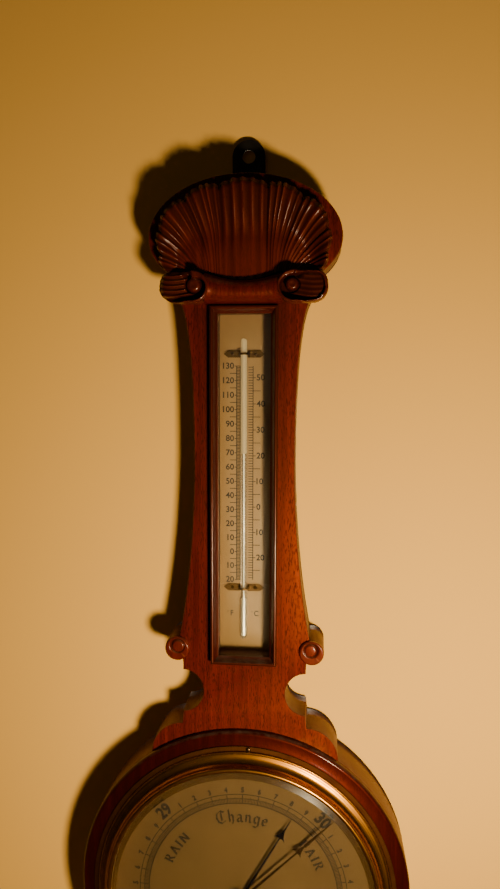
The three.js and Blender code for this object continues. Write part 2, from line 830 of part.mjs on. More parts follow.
function voluteRim(side) {
  const stations = 24;
  const sides = 6;
  const rings = [];
  for (let s = 0; s <= stations; s += 1) {
    const along = s / stations;
    const angle = voluteStartAngle + along * voluteTurns * fullTurn;
    const shrink = 1 - along * (1 - voluteEndShare);
    const radius = voluteRimRadius * (1 - along * voluteTaperShare);
    const reachX = (voluteHalfWidth - voluteRimRadius - fitGap) * shrink;
    const reachY = (voluteHalfHeight - voluteRimRadius - fitGap) * shrink;
    const centre = new THREE.Vector2(Math.cos(angle) * reachX, Math.sin(angle) * reachY);
    const out = centre.clone().normalize();
    const section = arcPoints(0, 0, radius, radius, 0, fullTurn, sides).slice(0, sides);
    rings.push(section.map(([a, b]) => new THREE.Vector3(
      side * (centre.x + out.x * a), centre.y + out.y * a, voluteDepth + b,
    )));
  }
  return loft(rings);
}

for (const [side, name] of [[-1, 'crest_volute_left'], [1, 'crest_volute_right']]) {
  const volute = add(name, join(voluteBody(), voluteRim(side)), carvedWood);
  volute.position.set(side * voluteCentreX, voluteCentreY, 0);
}

// Hanging plate and its two screws

function hangingPlate() {
  const outline = new THREE.Shape();
  outline.moveTo(hangerHalfWidth, hangerBottom);
  outline.lineTo(hangerHalfWidth, hangHoleHeight);
  outline.absarc(0, hangHoleHeight, hangerHalfWidth, 0, halfTurn, false);
  outline.lineTo(-hangerHalfWidth, hangerBottom);
  outline.holes.push(new THREE.Path().absarc(0, hangHoleHeight, hangHoleRadius, 0, fullTurn, false));
  const blank = slab(outline, wallZ, hangerFront, hangerSegments);
  const sinkFloor = wallZ + screwHeadHeight + fitGap;
  const tools = hangerScrewHeights.flatMap((height) => [
    rod(0, height, screwShankRadius + fitGap, wallZ - cutOverrun, cutOverrun, pinSegments),
    rod(0, height, screwHeadRadius + fitGap, wallZ - cutOverrun, sinkFloor, pinSegments),
  ]);
  return cut(blank, ...tools);
}

add('hanging_plate', hangingPlate(), blackIron);

const backScrew = slottedScrew(screwHeadRadius, screwHeadHeight, screwShankRadius, screwBite);
hangerScrewHeights.forEach((height, i) => {
  const screw = add(`hanging_plate_screw_${i + 1}`, backScrew, steel);
  screw.rotation.y = halfTurn;
  screw.position.set(0, height, wallZ + screwHeadHeight);
});

// Turned ring that carries the bezel

function dialRing() {
  const shoulder = ringFoot + ringEdgeHeight;
  const slopeTop = bezelRadius + fitGap;
  const arris = roundRadius - ringArrisWidth;
  const hollow = (slopeTop + arris) / 2;
  const hollowHeight = shoulder + (ringTop - shoulder) / 3;
  const profile = [
    [ringInnerRadius, ringFoot], [roundRadius, ringFoot], [roundRadius, shoulder],
    [roundRadius - ringArrisWidth / 3, shoulder + ringArrisWidth / 2],
    [arris, shoulder + ringArrisWidth / 2], [hollow, hollowHeight + ringArrisWidth / 2],
    [slopeTop, ringTop], [ringInnerRadius, ringTop],
  ];
  const blank = turned(profile, woodSegments);
  const hole = bezelScrewShankRadius + fitGap;
  return cut(blank, ...bezelScrewPlaces.map((place) => (
    rod(place.x, place.y, hole, -cutOverrun, ringTop + cutOverrun, pinSegments))));
}

add('dial_ring', dialRing(), redMahogany);

// Bezel: a flat flange, a ridge, a wide cove and a bead round the glass

const ridgeRadius = bezelRadius - bezelFlangeWidth;
const coveStart = ridgeRadius - bezelRidgeWidth;
const beadCentreR = sightRadius + bezelBeadRadius;
const coveRun = coveStart - beadCentreR - bezelBeadRadius;

function bezel() {
  const coveSide = (offset, from, to) => arcPoints(
    coveStart, beadCentreZ, -coveRun - offset, -bezelCoveHeight - offset, from, to, coveSegments,
  );
  const bead = arcPoints(
    beadCentreR, beadCentreZ, bezelBeadRadius, bezelBeadRadius, 0, halfTurn, beadSegments,
  );
  const innerStop = quarterTurn / 6;
  const profile = [
    [coveStart, flangeBack], [bezelRadius, flangeBack], [bezelRadius, flangeTop],
    [ridgeRadius + bezelRidgeWidth / 3, flangeTop], [ridgeRadius, ridgeTop],
    ...coveSide(0, quarterTurn, 0),
    ...bead.slice(1),
    [bezelWallRadius, beadCentreZ], [bezelWallRadius, glassBack],
    ...coveSide(bezelSheet, innerStop, quarterTurn),
  ];
  const blank = turned(profile, ringSegments);
  const hole = bezelScrewShankRadius + fitGap;
  return cut(blank, ...bezelScrewPlaces.map((place) => (
    rod(place.x, place.y, hole, flangeBack - cutOverrun, ridgeTop + cutOverrun, pinSegments))));
}

add('bezel', bezel(), brass);

const bezelScrew = slottedScrew(
  bezelScrewHeadRadius, bezelScrewHeadHeight, bezelScrewShankRadius, bezelScrewBite,
);
bezelScrewPlaces.forEach((place, i) => {
  const screw = add(`bezel_screw_${i + 1}`, bezelScrew, brass);
  screw.position.set(place.x, place.y, flangeTop + fitGap);
});

// Bevelled dial glass, drilled in the middle for the setting hand's spindle

const spindleHoleRadius = knobSpindleRadius + fitGap;

function dialGlass() {
  const bevelStart = sightRadius - fitGap;
  const profile = [
    [spindleHoleRadius, glassBack], [glassRadius, glassBack], [glassRadius, glassRimTop],
    [bevelStart, glassRimTop], [bevelStart - glassBevelWidth, glassFront],
    [spindleHoleRadius, glassFront],
  ];
  return turned(profile, ringSegments);
}

add('dial_glass', dialGlass(), glass);

function glassSpacer() {
  const back = dialFront + fitGap;
  const top = glassBack - fitGap;
  const inner = glassRadius - spacerWall;
  return turned([[inner, back], [glassRadius, back], [glassRadius, top], [inner, top]], ringSegments);
}

add('glass_spacer_ring', glassSpacer(), paleBrass);

const dialProfile = [
  [dialHoleRadius, dialBack], [dialRadius, dialBack], [dialRadius, dialFront], [dialHoleRadius, dialFront],
];
add('dial_plate', turned(dialProfile, ringSegments), silvered);

// Hands, drawn pointing up: a slim bar with a crescent and an arrow head, and a balancing tail

const crescentBackShare = 0.55;
const arrowBarbShare = 0.55;
const tailSwellShare = 0.12;

function handShape(length, crescentDrop, tailLength, bossRadius) {
  const crescentAt = length - crescentDrop;
  const w = handBarHalfWidth;
  const horn = crescentHalfWidth;
  const barb = horn * arrowBarbShare;
  const hornBack = crescentAt - horn * crescentBackShare;
  const right = [
    [w, bossRadius], [w, crescentAt - horn / 2], [barb, hornBack], [horn, crescentAt - horn / 4],
    [barb, crescentAt + horn / 5], [w, crescentAt + horn], [w / 3, length],
  ];
  const swell = tailLength * tailSwellShare;
  const tail = [
    [w, -bossRadius], [w, -tailLength + 2 * swell], [swell, -tailLength + swell], [w, -tailLength],
  ];
  const half = [...tail.reverse(), ...right];
  const mirrored = [...half].reverse().map(([x, y]) => [-x, y]);
  return shapeOf([...half, ...mirrored]);
}

function hand(shape, bossRadius, holeRadius, zBack, thickness, bossTop) {
  const blade = slab(shape, zBack, zBack + thickness);
  const boss = rod(0, 0, bossRadius, zBack, bossTop);
  const hole = rod(0, 0, holeRadius, zBack - cutOverrun, bossTop + cutOverrun);
  return cut(join(blade, boss), hole);
}

const pointerShape = handShape(pointerLength, pointerCrescentDrop, pointerTailLength, pointerBossRadius);
const pointerBody = hand(
  pointerShape, pointerBossRadius, arborRadius + fitGap, pointerBack, pointerThickness,
  pointerBack + pointerBossHeight,
);
add('pointer', pointerBody, bluedSteel).rotation.z = -pointerAngle;

const setHandShape = handShape(setHandLength, setHandCrescentDrop, setHandTailLength, setHandBossRadius);
const setHandBody = hand(
  setHandShape, setHandBossRadius, spindleHoleRadius, setHandBack, setHandThickness,
  setHandBack + setHandThickness,
);
add('set_hand', setHandBody, brass).rotation.z = -setHandAngle;

const knobRimShare = 0.88;
const knobSeatShare = 0.6;
const knobDishShare = 0.55;

function setHandKnob() {
  const back = glassFront + fitGap;
  const top = back + knobHeight;
  const spindleEnd = setHandBack - washerThickness - fitGap;
  const profile = [
    [0, spindleEnd], [knobSpindleRadius, spindleEnd], [knobSpindleRadius, back],
    [knobRadius * knobSeatShare, back], [knobRadius * knobSeatShare, back + knobHeight / 4],
    [knobRadius * knobRimShare, back + knobHeight / 3], [knobRadius, back + knobHeight / 2],
    [knobRadius, top - knobHeight / 6], [knobRadius * knobRimShare, top],
    [knobRadius * knobDishShare, top - knobHeight / 8], [0, top - knobHeight / 8],
  ];
  return turned(profile, knobSegments);
}

add('set_hand_knob', setHandKnob(), brass);

const washerTop = setHandBack - fitGap;
const washerProfile = [
  [spindleHoleRadius, washerTop - washerThickness], [washerRadius, washerTop - washerThickness],
  [washerRadius, washerTop], [spindleHoleRadius, washerTop],
];
add('set_hand_washer', turned(washerProfile, smallSegments), brass);

// Thermometer frame: four mitred mouldings round the opening

function frameBar(halfLength, halfAcross) {
  const outer = halfAcross + frameWidth;
  const foot = fitGap;
  const top = foot + frameHeight;
  const lip = foot + frameLipHeight;
  const edge = frameHeight / 4;
  const face = outer - frameFaceWidth;
  const section = [
    [outer, foot], [outer, top - edge], [outer - edge, top], [face, top],
    [(face + halfAcross) / 2, (top + lip) / 2], [halfAcross, lip], [halfAcross, foot],
  ];
  const reach = halfLength + frameWidth + cutOverrun;
  const ringAt = (x) => section.map(([y, z]) => new THREE.Vector3(x, y, z));
  const bar = loft([ringAt(-reach), ringAt(reach)]);
  const mitre = fitGap / 2;
  const near = halfLength - mitre;
  const far = near + frameWidth + cutOverrun;
  const corners = [
    [-near, halfAcross], [near, halfAcross], [far, outer + cutOverrun], [-far, outer + cutOverrun],
  ];
  return common(bar, slab(shapeOf(corners), 0, top + cutOverrun));
}

const levelBar = frameBar(openingHalfWidth, openingHalfHeight);
const uprightBar = frameBar(openingHalfHeight, openingHalfWidth);
const frameBars = [
  ['thermometer_frame_top', levelBar, 0],
  ['thermometer_frame_left', uprightBar, quarterTurn],
  ['thermometer_frame_bottom', levelBar, halfTurn],
  ['thermometer_frame_right', uprightBar, -quarterTurn],
];
for (const [name, bar, turn] of frameBars) {
  const member = add(name, bar, carvedWood);
  member.position.y = openingMiddle;
  member.rotation.z = turn;
}

// Thermometer glass, scale plate, tube and mercury

const glassFit = ledgeHalfWidth - fitGap;
const glassFitHeight = ledgeHalfHeight - fitGap;
const coverGlass = thermometerBlock(glassFit, glassFitHeight, -fitGap - thermometerGlassThickness, -fitGap);
add('thermometer_glass', coverGlass, glass);

function scalePlate() {
  const halfWidth = recessHalfWidth - fitGap;
  const halfHeight = recessHalfHeight - fitGap;
  const blank = thermometerBlock(halfWidth, halfHeight, plateBack, plateFront);
  const pinHole = pinRadius + fitGap;
  const behind = plateBack - cutOverrun;
  const holes = clipHeights.flatMap((height) => [-1, 1].map((side) => (
    rod(tubeCentreX + side * clipPinSpread, height, pinHole, behind, 0, pinSegments))));
  return cut(blank, ...holes);
}

add('thermometer_plate', scalePlate(), ivorine);

function alongTube(profile, segments) {
  return turned(profile, segments).rotateX(-quarterTurn).translate(tubeCentreX, 0, tubeCentreZ);
}

function thermometerTube() {
  const domeBase = tubeTop - tubeRadius;
  const boreTop = domeBase - tubeBoreRadius;
  const wall = tubeRadius - tubeBoreRadius;
  const profile = [
    [bulbMouthRadius, bulbBottom], [bulbRadius / 2, bulbBottom],
    [bulbRadius, bulbBottom + bulbRadius], [bulbRadius, bulbTop],
    [tubeBoreRadius + wall / 2, (bulbTop + tubeNeck) / 2], [tubeRadius, tubeNeck],
    [tubeRadius, domeBase], [tubeRadius * Math.SQRT1_2, domeBase + tubeRadius * Math.SQRT1_2],
    [0, tubeTop], [0, boreTop], [tubeBoreRadius, boreTop],
    [tubeBoreRadius, bulbTop], [bulbBoreRadius, bulbTop - bulbBoreRadius],
    [bulbBoreRadius, bulbBottom + bulbRadius], [bulbMouthRadius, bulbBottom + bulbRadius / 2],
  ];
  return alongTube(profile, tubeSegments);
}

add('thermometer_tube', thermometerTube(), glass);

const mercuryShare = 0.596;

function mercury() {
  const mercuryHeight = bulbTop + (upperClipHeight - bulbTop) * mercuryShare;
  const bulb = bulbBoreRadius - fitGap;
  const thread = tubeBoreRadius - fitGap;
  const bottom = bulbBottom + bulbRadius + fitGap;
  const shoulder = bulbTop - bulbBoreRadius - fitGap;
  const profile = [
    [0, bottom], [bulb, bottom], [bulb, shoulder], [thread, bulbTop - fitGap],
    [thread, mercuryHeight], [0, mercuryHeight],
  ];
  return alongTube(profile, pinSegments);
}

add('thermometer_mercury', mercury(), quicksilver);

// Tube clips: a strap bent over the tube, with pointed ends, and a pin through each end

const clipPointShare = 0.2;

function tubeClip() {
  const flat = plateFront + fitGap;
  const inner = tubeRadius + fitGap;
  const outer = inner + clipThickness;
  const top = flat + clipThickness;
  const section = [
    [clipHalfWidth, flat], [clipHalfWidth, top], [outer, top],
    ...arcPoints(0, tubeCentreZ, outer, outer, 0, halfTurn, clipSegments),
    [-outer, top], [-clipHalfWidth, top], [-clipHalfWidth, flat], [-inner, flat],
    ...arcPoints(0, tubeCentreZ, inner, inner, halfTurn, 0, clipSegments),
    [inner, flat],
  ];
  const half = clipHeight / 2;
  const strap = prismAlongY(section, -half, half);
  const side = clipHalfWidth * (1 - clipPointShare);
  const plan = [
    [clipHalfWidth, 0], [side, half], [-side, half], [-clipHalfWidth, 0], [-side, -half], [side, -half],
  ];
  const trimmed = common(strap, slab(shapeOf(plan), flat - cutOverrun, tubeCentreZ + outer + cutOverrun));
  const holes = [-1, 1].map((end) => (
    rod(end * clipPinSpread, 0, pinRadius + fitGap, flat - cutOverrun, 0, pinSegments)));
  return cut(trimmed, ...holes);
}

const clipBody = tubeClip();
const pinProfile = [
  [0, -pinLength], [pinRadius, -pinLength], [pinRadius, 0], [pinHeadRadius, 0],
  [pinHeadRadius, pinHeadHeight / 2], [pinRadius, pinHeadHeight], [0, pinHeadHeight],
];
const clipPin = turned(pinProfile, pinSegments);
const pinSeat = plateFront + fitGap + clipThickness + fitGap;
for (const [height, level] of [[upperClipHeight, 'upper'], [lowerClipHeight, 'lower']]) {
  add(`tube_clip_${level}`, clipBody, brass).position.set(tubeCentreX, height, 0);
  for (const [side, hand] of [[-1, 'left'], [1, 'right']]) {
    const pin = add(`clip_pin_${level}_${hand}`, clipPin, brass);
    pin.position.set(tubeCentreX + side * clipPinSpread, height, pinSeat);
  }
}

// Back cover, sunk flush into the back of the round body

function backCover() {
  const disc = [
    [coverHoleRadius, coverBack], [coverRadius, coverBack],
    [coverRadius, coverFront], [coverHoleRadius, coverFront],
  ];
  const shankHole = screwShankRadius + fitGap;
  const below = coverBack - cutOverrun;
  const above = coverFront + cutOverrun;
  const holes = coverScrewPlaces.map((place) => (
    rod(place.x, place.y, shankHole, below, above, pinSegments)));
  return cut(turned(disc, ringSegments), ...holes);
}

add('back_cover', backCover(), paleBrass);

coverScrewPlaces.forEach((place, i) => {
  const screw = add(`back_cover_screw_${i + 1}`, backScrew, steel);
  screw.rotation.y = halfTurn;
  screw.position.set(place.x, place.y, coverBack - fitGap);
});

// Movement: base plate on three pillars behind the dial

const pillarPlaces = ringOf(3, pillarCircle, quarterTurn);
const adjusterHoleRadius = adjusterRadius + fitGap;
const baseProfile = [
  [adjusterHoleRadius, basePlateBack], [basePlateRadius, basePlateBack],
  [basePlateRadius, basePlateFront], [adjusterHoleRadius, basePlateFront],
];
add('base_plate', turned(baseProfile, plateSegments), paleBrass);

const pillarTop = dialBack - fitGap;
const pillarProfile = [
  [0, legFoot], [pillarFootRadius, legFoot], [pillarFootRadius, legFoot + pillarFootHeight],
  [pillarRadius, legFoot + 2 * pillarFootHeight], [pillarRadius, pillarTop - 2 * pillarFootHeight],
  [pillarFootRadius, pillarTop - pillarFootHeight], [pillarFootRadius, pillarTop], [0, pillarTop],
];
const pillarBody = turned(pillarProfile, smallSegments);
pillarPlaces.forEach((place, i) => {
  add(`dial_pillar_${i + 1}`, pillarBody, paleBrass).position.set(place.x, place.y, 0);
});

// Movement: vacuum capsule with rippled faces, and its adjusting screw

function capsule() {
  const steps = 2 * capsuleRipples;
  const face = (z, side) => Array.from({ length: steps + 1 }, (_, i) => {
    const radius = capsuleRadius + ((capsuleBossRadius - capsuleRadius) * i) / steps;
    return [radius, z - side * capsuleRipple * (i % 2)];
  });
  const seatTop = capsuleFoot + adjusterDepth;
  const profile = [
    [0, seatTop], [adjusterHoleRadius, seatTop], [adjusterHoleRadius, capsuleFoot],
    [capsuleBossRadius, capsuleFoot],
    ...face(capsuleBottom, -1).reverse(),
    ...face(capsuleTop, 1),
    [capsuleTopBossRadius, capsuleTop],
    [capsuleTopBossRadius, capsuleTop + capsuleTopBossHeight], [0, capsuleTop + capsuleTopBossHeight],
  ];
  return turned(profile, capsuleSegments);
}

add('vacuum_capsule', capsule(), nickelSilver);

function adjustingScrew() {
  const seat = basePlateBack - fitGap;
  const tip = capsuleFoot + adjusterDepth - fitGap;
  const headBack = seat - adjusterHeadHeight;
  const profile = [
    [0, headBack], [adjusterHeadRadius, headBack], [adjusterHeadRadius, seat],
    [adjusterRadius, seat], [adjusterRadius, tip], [0, tip],
  ];
  const reach = adjusterHeadRadius + cutOverrun;
  const half = slotWidth / 2;
  const slot = block(-reach, reach, -half, half, headBack - cutOverrun, headBack + slotDepth);
  return cut(turned(profile, smallSegments), slot);
}

add('adjusting_screw', adjustingScrew(), steel);

const postTop = leafFront + fitGap + postHeadHeight;
const postProfile = [
  [0, postFoot], [postRadius, postFoot], [postRadius, leafFront + fitGap],
  [postHeadRadius, leafFront + fitGap], [postHeadRadius, postTop], [0, postTop],
];
add('capsule_post', turned(postProfile, pinSegments), steel);

// Movement: the bridge over the capsule and the leaf spring bolted on it

const bridgeTop = leafBack - fitGap;
const leafScrewHole = leafScrewRadius + fitGap;

function springBridge() {
  const under = bridgeTop - bridgeBarThickness;
  const inner = bridgeHalfSpan - bridgeLegWidth;
  const outline = [
    [-bridgeHalfSpan, legFoot], [-inner, legFoot], [-inner, under], [inner, under], [inner, legFoot],
    [bridgeHalfSpan, legFoot], [bridgeHalfSpan, bridgeTop], [-bridgeHalfSpan, bridgeTop],
  ];
  const blank = prismAlongY(outline, springHinge - bridgeHalfWidth, springHinge + bridgeHalfWidth);
  const below = under - cutOverrun;
  const above = bridgeTop + cutOverrun;
  const holes = [-1, 1].map((side) => (
    rod(side * leafScrewSpread, springHinge, leafScrewHole, below, above, pinSegments)));
  return cut(blank, ...holes);
}

add('spring_bridge', springBridge(), blackIron);

function mainspring() {
  const root = springHinge + bridgeHalfWidth;
  const shoulder = springHinge - bridgeHalfWidth;
  const outline = [
    [-leafRootHalfWidth, root], [-leafRootHalfWidth, shoulder], [-leafTipHalfWidth, 0],
    [-leafTipHalfWidth, -leafTipReach], [leafTipHalfWidth, -leafTipReach], [leafTipHalfWidth, 0],
    [leafRootHalfWidth, shoulder], [leafRootHalfWidth, root],
  ];
  const blank = slab(shapeOf(outline), leafBack, leafFront);
  const below = leafBack - cutOverrun;
  const above = leafFront + cutOverrun;
  const screwHoles = [-1, 1].map((side) => (
    rod(side * leafScrewSpread, springHinge, leafScrewHole, below, above, pinSegments)));
  return cut(blank, rod(0, 0, postRadius + fitGap, below, above), ...screwHoles);
}

add('mainspring', mainspring(), steel);

const leafScrewBite = leafThickness + fitGap + bridgeBarThickness;
const leafScrew = slottedScrew(leafScrewHeadRadius, leafScrewHeadHeight, leafScrewRadius, leafScrewBite);
for (const [side, hand] of [[-1, 'left'], [1, 'right']]) {
  const screw = add(`leaf_screw_${hand}`, leafScrew, bluedSteel);
  screw.position.set(side * leafScrewSpread, springHinge, leafFront + fitGap);
}

// Movement: main lever, link and rocking bar

const leverStart = -postHeadRadius - fitGap - fitGap;
const linkPinX = -leverHalfWidth;

function mainLever() {
  const end = -linkDrop - linkHalfWidth;
  const arm = block(-leverHalfWidth, leverHalfWidth, end, leverStart, leverBack, leverFront);
  const pin = crossRod(-linkDrop, leverMiddle, linkPinRadius, linkPinX - linkPinLength, 0);
  return join(arm, pin);
}

add('main_lever', mainLever(), paleBrass);

const linkInnerX = linkPinX - fitGap - fitGap;

function link() {
  const outline = new THREE.Shape();
  outline.moveTo(linkHalfWidth, leverMiddle);
  outline.lineTo(linkHalfWidth, rockerZ);
  outline.absarc(0, rockerZ, linkHalfWidth, 0, halfTurn, false);
  outline.lineTo(-linkHalfWidth, leverMiddle);
  outline.absarc(0, leverMiddle, linkHalfWidth, halfTurn, fullTurn, false);
  const eyes = [[leverMiddle, linkPinRadius + linkSlack], [rockerZ, linkPinRadius + fitGap]];
  for (const [height, radius] of eyes) {
    outline.holes.push(new THREE.Path().absarc(0, height, radius, 0, fullTurn, false));
  }
  const strip = new THREE.ExtrudeGeometry(outline, {
    depth: linkThickness, bevelEnabled: false, curveSegments: pinSegments,
  });
  strip.rotateY(quarterTurn).rotateX(quarterTurn);
  return closed(strip.translate(linkInnerX - linkThickness, -linkDrop, 0));
}

add('link', link(), steel);

const chainX = drumRadius + fitGap + chainRadius;

function rockingBar() {
  const bar = crossRod(-rockerDrop, rockerZ, rockerRadius, -rockerHalfLength, rockerHalfLength);
  const pivotReach = rockerHalfLength + fitGap + rockerPostHalfWidth;
  const pivots = crossRod(-rockerDrop, rockerZ, rockerPivotRadius, -pivotReach, pivotReach);
  const thick = shortArmHalfThickness;
  const shortEnd = -linkDrop - thick;
  const armX = linkPinX;
  const armEnd = armX + shortArmWidth;
  const shortArm = block(armX, armEnd, shortEnd, -rockerDrop, rockerZ - thick, rockerZ + thick);
  const pin = crossRod(-linkDrop, rockerZ, linkPinRadius, armX - linkPinLength, (armX + armEnd) / 2);
  const chainArm = block(
    chainX - chainArmWidth / 2, chainX + chainArmWidth / 2,
    -rockerDrop - chainArmHalfDepth, -rockerDrop + chainArmHalfDepth, rockerZ, chainHeight + chainRadius,
  );
  return join(bar, pivots, shortArm, pin, chainArm);
}

add('rocking_bar', rockingBar(), steel);

function rockerPost(side) {
  const middle = side * (rockerHalfLength + fitGap + rockerPostHalfWidth);
  const half = rockerPostHalfWidth;
  const [inner, outer] = [middle - half, middle + half];
  const headTop = rockerZ + rockerPostHeadroom;
  const post = block(inner, outer, -rockerDrop - half, -rockerDrop + half, legFoot, headTop);
  const pivotHole = rockerPivotRadius + fitGap;
  return cut(post, crossRod(-rockerDrop, rockerZ, pivotHole, inner - cutOverrun, outer + cutOverrun));
}

add('rocker_post_left', rockerPost(-1), paleBrass);
add('rocker_post_right', rockerPost(1), paleBrass);

function chain() {
  const start = -rockerDrop + chainArmHalfDepth + fitGap;
  const bar = new THREE.CylinderGeometry(chainRadius, chainRadius, -start, pinSegments);
  return bar.translate(chainX, start / 2, chainHeight);
}

add('fusee_chain', chain(), steel);

// Movement: the arbor that carries the pointer, its bridge and the hairspring

function arborBridge() {
  const upright = cageHalfWindow + cageUprightWidth;
  const outline = [
    [-cageLegOuter, legFoot], [-cageLegInner, legFoot], [-cageLegInner, cageBarBack],
    [cageLegInner, cageBarBack], [cageLegInner, legFoot], [cageLegOuter, legFoot],
    [cageLegOuter, cageBarFront], [upright, cageBarFront], [upright, cageTop],
    [-upright, cageTop], [-upright, cageBarFront], [-cageLegOuter, cageBarFront],
  ];
  const half = cageHalfWidth;
  const over = half + cutOverrun;
  return cut(
    prismAlongY(outline, -half, half),
    block(-cageHalfWindow, cageHalfWindow, -over, over, cageBarFront, cageTopBack),
    rod(0, 0, arborPivotRadius + fitGap, cageBarBack - cutOverrun, cageBarFront + cutOverrun, pinSegments),
    rod(0, 0, arborRadius + fitGap, cageTopBack - cutOverrun, cageTop + cutOverrun, pinSegments),
  );
}

add('arbor_bridge', arborBridge(), paleBrass);

const hairspringZ = cageBarFront + hairspringRise;

function pointerArbor() {
  const drumBack = chainHeight - drumHalfLength;
  const drumFront = chainHeight + drumHalfLength;
  const collarBack = hairspringZ - collarHeight / 2;
  const collarFront = hairspringZ + collarHeight / 2;
  const top = pointerBack + pointerBossHeight;
  const profile = [
    [0, cageBarBack], [arborPivotRadius, cageBarBack], [arborPivotRadius, cageBarFront + fitGap],
    [arborRadius, cageBarFront + fitGap], [arborRadius, collarBack], [collarRadius, collarBack],
    [collarRadius, collarFront], [arborRadius, collarFront], [arborRadius, drumBack],
    [drumRadius, drumBack], [drumRadius, drumFront], [arborRadius, drumFront],
    [arborRadius, top], [0, top],
  ];
  return turned(profile, smallSegments);
}

add('pointer_arbor', pointerArbor(), steel);

function hairspring() {
  const stepsPerTurn = 12;
  const steps = hairspringTurns * stepsPerTurn;
  const rings = [];
  for (let i = 0; i <= steps; i += 1) {
    const share = i / steps;
    const angle = share * hairspringTurns * fullTurn;
    const middle = hairspringInnerRadius + (hairspringOuterRadius - hairspringInnerRadius) * share;
    const corner = (side, lift) => new THREE.Vector3(
      Math.cos(angle) * (middle + (side * hairspringThickness) / 2),
      Math.sin(angle) * (middle + (side * hairspringThickness) / 2),
      hairspringZ + (lift * hairspringHeight) / 2,
    );
    rings.push([corner(-1, -1), corner(1, -1), corner(1, 1), corner(-1, 1)]);
  }
  return loft(rings);
}

add('hairspring', hairspring(), bluedSteel);

export default group;
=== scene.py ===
import math
from bisect import bisect_left

import bmesh
import bpy
from mathutils import Matrix, Vector


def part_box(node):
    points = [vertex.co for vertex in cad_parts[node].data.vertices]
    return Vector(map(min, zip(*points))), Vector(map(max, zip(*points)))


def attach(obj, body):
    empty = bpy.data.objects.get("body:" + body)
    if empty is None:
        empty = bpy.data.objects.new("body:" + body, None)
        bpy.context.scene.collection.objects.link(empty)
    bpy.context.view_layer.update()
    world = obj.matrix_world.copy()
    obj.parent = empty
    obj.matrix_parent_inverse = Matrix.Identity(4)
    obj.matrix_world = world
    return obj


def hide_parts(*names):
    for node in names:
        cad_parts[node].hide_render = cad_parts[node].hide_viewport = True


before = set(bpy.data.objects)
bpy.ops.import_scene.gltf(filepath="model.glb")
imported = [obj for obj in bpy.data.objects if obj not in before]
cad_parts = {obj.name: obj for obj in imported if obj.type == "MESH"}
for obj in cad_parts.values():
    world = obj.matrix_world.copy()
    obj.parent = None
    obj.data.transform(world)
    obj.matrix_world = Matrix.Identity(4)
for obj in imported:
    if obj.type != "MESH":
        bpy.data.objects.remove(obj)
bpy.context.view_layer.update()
print("stage: frame loaded")

# Pieces are drawn in millimetres as seen from the front: x right, y up from the dial's
# centre, z out of the board's face. frontFrame puts them in the frame's metres.
millimetre = 0.001
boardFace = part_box("case_board")[0][1]
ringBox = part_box("dial_ring")
dialHeight = (ringBox[0][2] + ringBox[1][2]) / 2
frontFrame = (
    Matrix.Translation((0, boardFace, dialHeight))
    @ Matrix.Rotation(math.radians(90), 4, "X")
    @ Matrix.Scale(millimetre, 4)
)
meshing = {"weld": 0.0005, "gridWeld": 0.002, "overrun": 5.0}  # mm; overrun is how far a cutter stands clear


# Small tools

def smoothStep(low, high, value):
    t = min(max((value - low) / (high - low), 0), 1)
    return t * t * (3 - 2 * t)


def mix(a, b, t):
    return a + (b - a) * t


def readTable(table, key):  # straight lines between (key, value) pairs
    for (k0, v0), (k1, v1) in zip(table, table[1:]):
        if key <= k1:
            return mix(v0, v1, (key - k0) / (k1 - k0))
    return table[-1][1]


def arcPoints(cx, cy, rx, ry, start, end, steps):  # degrees, both ends kept
    turns = [math.radians(mix(start, end, i / steps)) for i in range(steps + 1)]
    return [(cx + rx * math.cos(t), cy + ry * math.sin(t)) for t in turns]


def bezierPoints(p0, p1, p2, p3, steps):
    points = []
    for i in range(1, steps + 1):
        t = i / steps
        weights = ((1 - t) ** 3, 3 * t * (1 - t) ** 2, 3 * t * t * (1 - t), t ** 3)
        corners = (p0, p1, p2, p3)
        points.append(tuple(sum(w * p[k] for w, p in zip(weights, corners)) for k in (0, 1)))
    return points


def roundSpot(radius, degrees):  # a place on a circle round the dial's centre
    return radius * math.cos(math.radians(degrees)), radius * math.sin(math.radians(degrees))


def grownVerts(grown):  # the new corners that an extrusion gives
    return [part for part in grown["geom"] if isinstance(part, bmesh.types.BMVert)]


def spinProfile(points, steps=160, closed=True):  # (radius, z) pairs turned round z
    bm = bmesh.new()
    verts = [bm.verts.new((r, 0, z)) for r, z in points]
    pairs = list(zip(verts, verts[1:]))
    if closed:
        pairs.append((verts[-1], verts[0]))
    edges = [bm.edges.new(pair) for pair in pairs]
    bmesh.ops.spin(
        bm, geom=verts + edges, cent=(0, 0, 0), axis=(0, 0, 1), angle=math.tau,
        steps=steps, use_merge=True, use_duplicate=False,
    )
    bmesh.ops.remove_doubles(bm, verts=bm.verts[:], dist=meshing["weld"])
    bmesh.ops.recalc_face_normals(bm, faces=bm.faces[:])
    return bm


def roundPlug(radius, low, high, steps, x=0.0, y=0.0):  # a solid cylinder, mostly to cut with
    bm = spinProfile([(0, low), (radius, low), (radius, high), (0, high)], steps, False)
    bmesh.ops.translate(bm, vec=(x, y, 0), verts=bm.verts[:])
    return bm


def extrudeOutline(points, zBack, zFront):  # a flat outline filled and pulled forward
    bm = bmesh.new()
    face = bm.faces.new([bm.verts.new((x, y, zBack)) for x, y in points])
    grown = bmesh.ops.extrude_face_region(bm, geom=[face])
    bmesh.ops.translate(bm, vec=(0, 0, zFront - zBack), verts=grownVerts(grown))
    bmesh.ops.recalc_face_normals(bm, faces=bm.faces[:])
    return bm


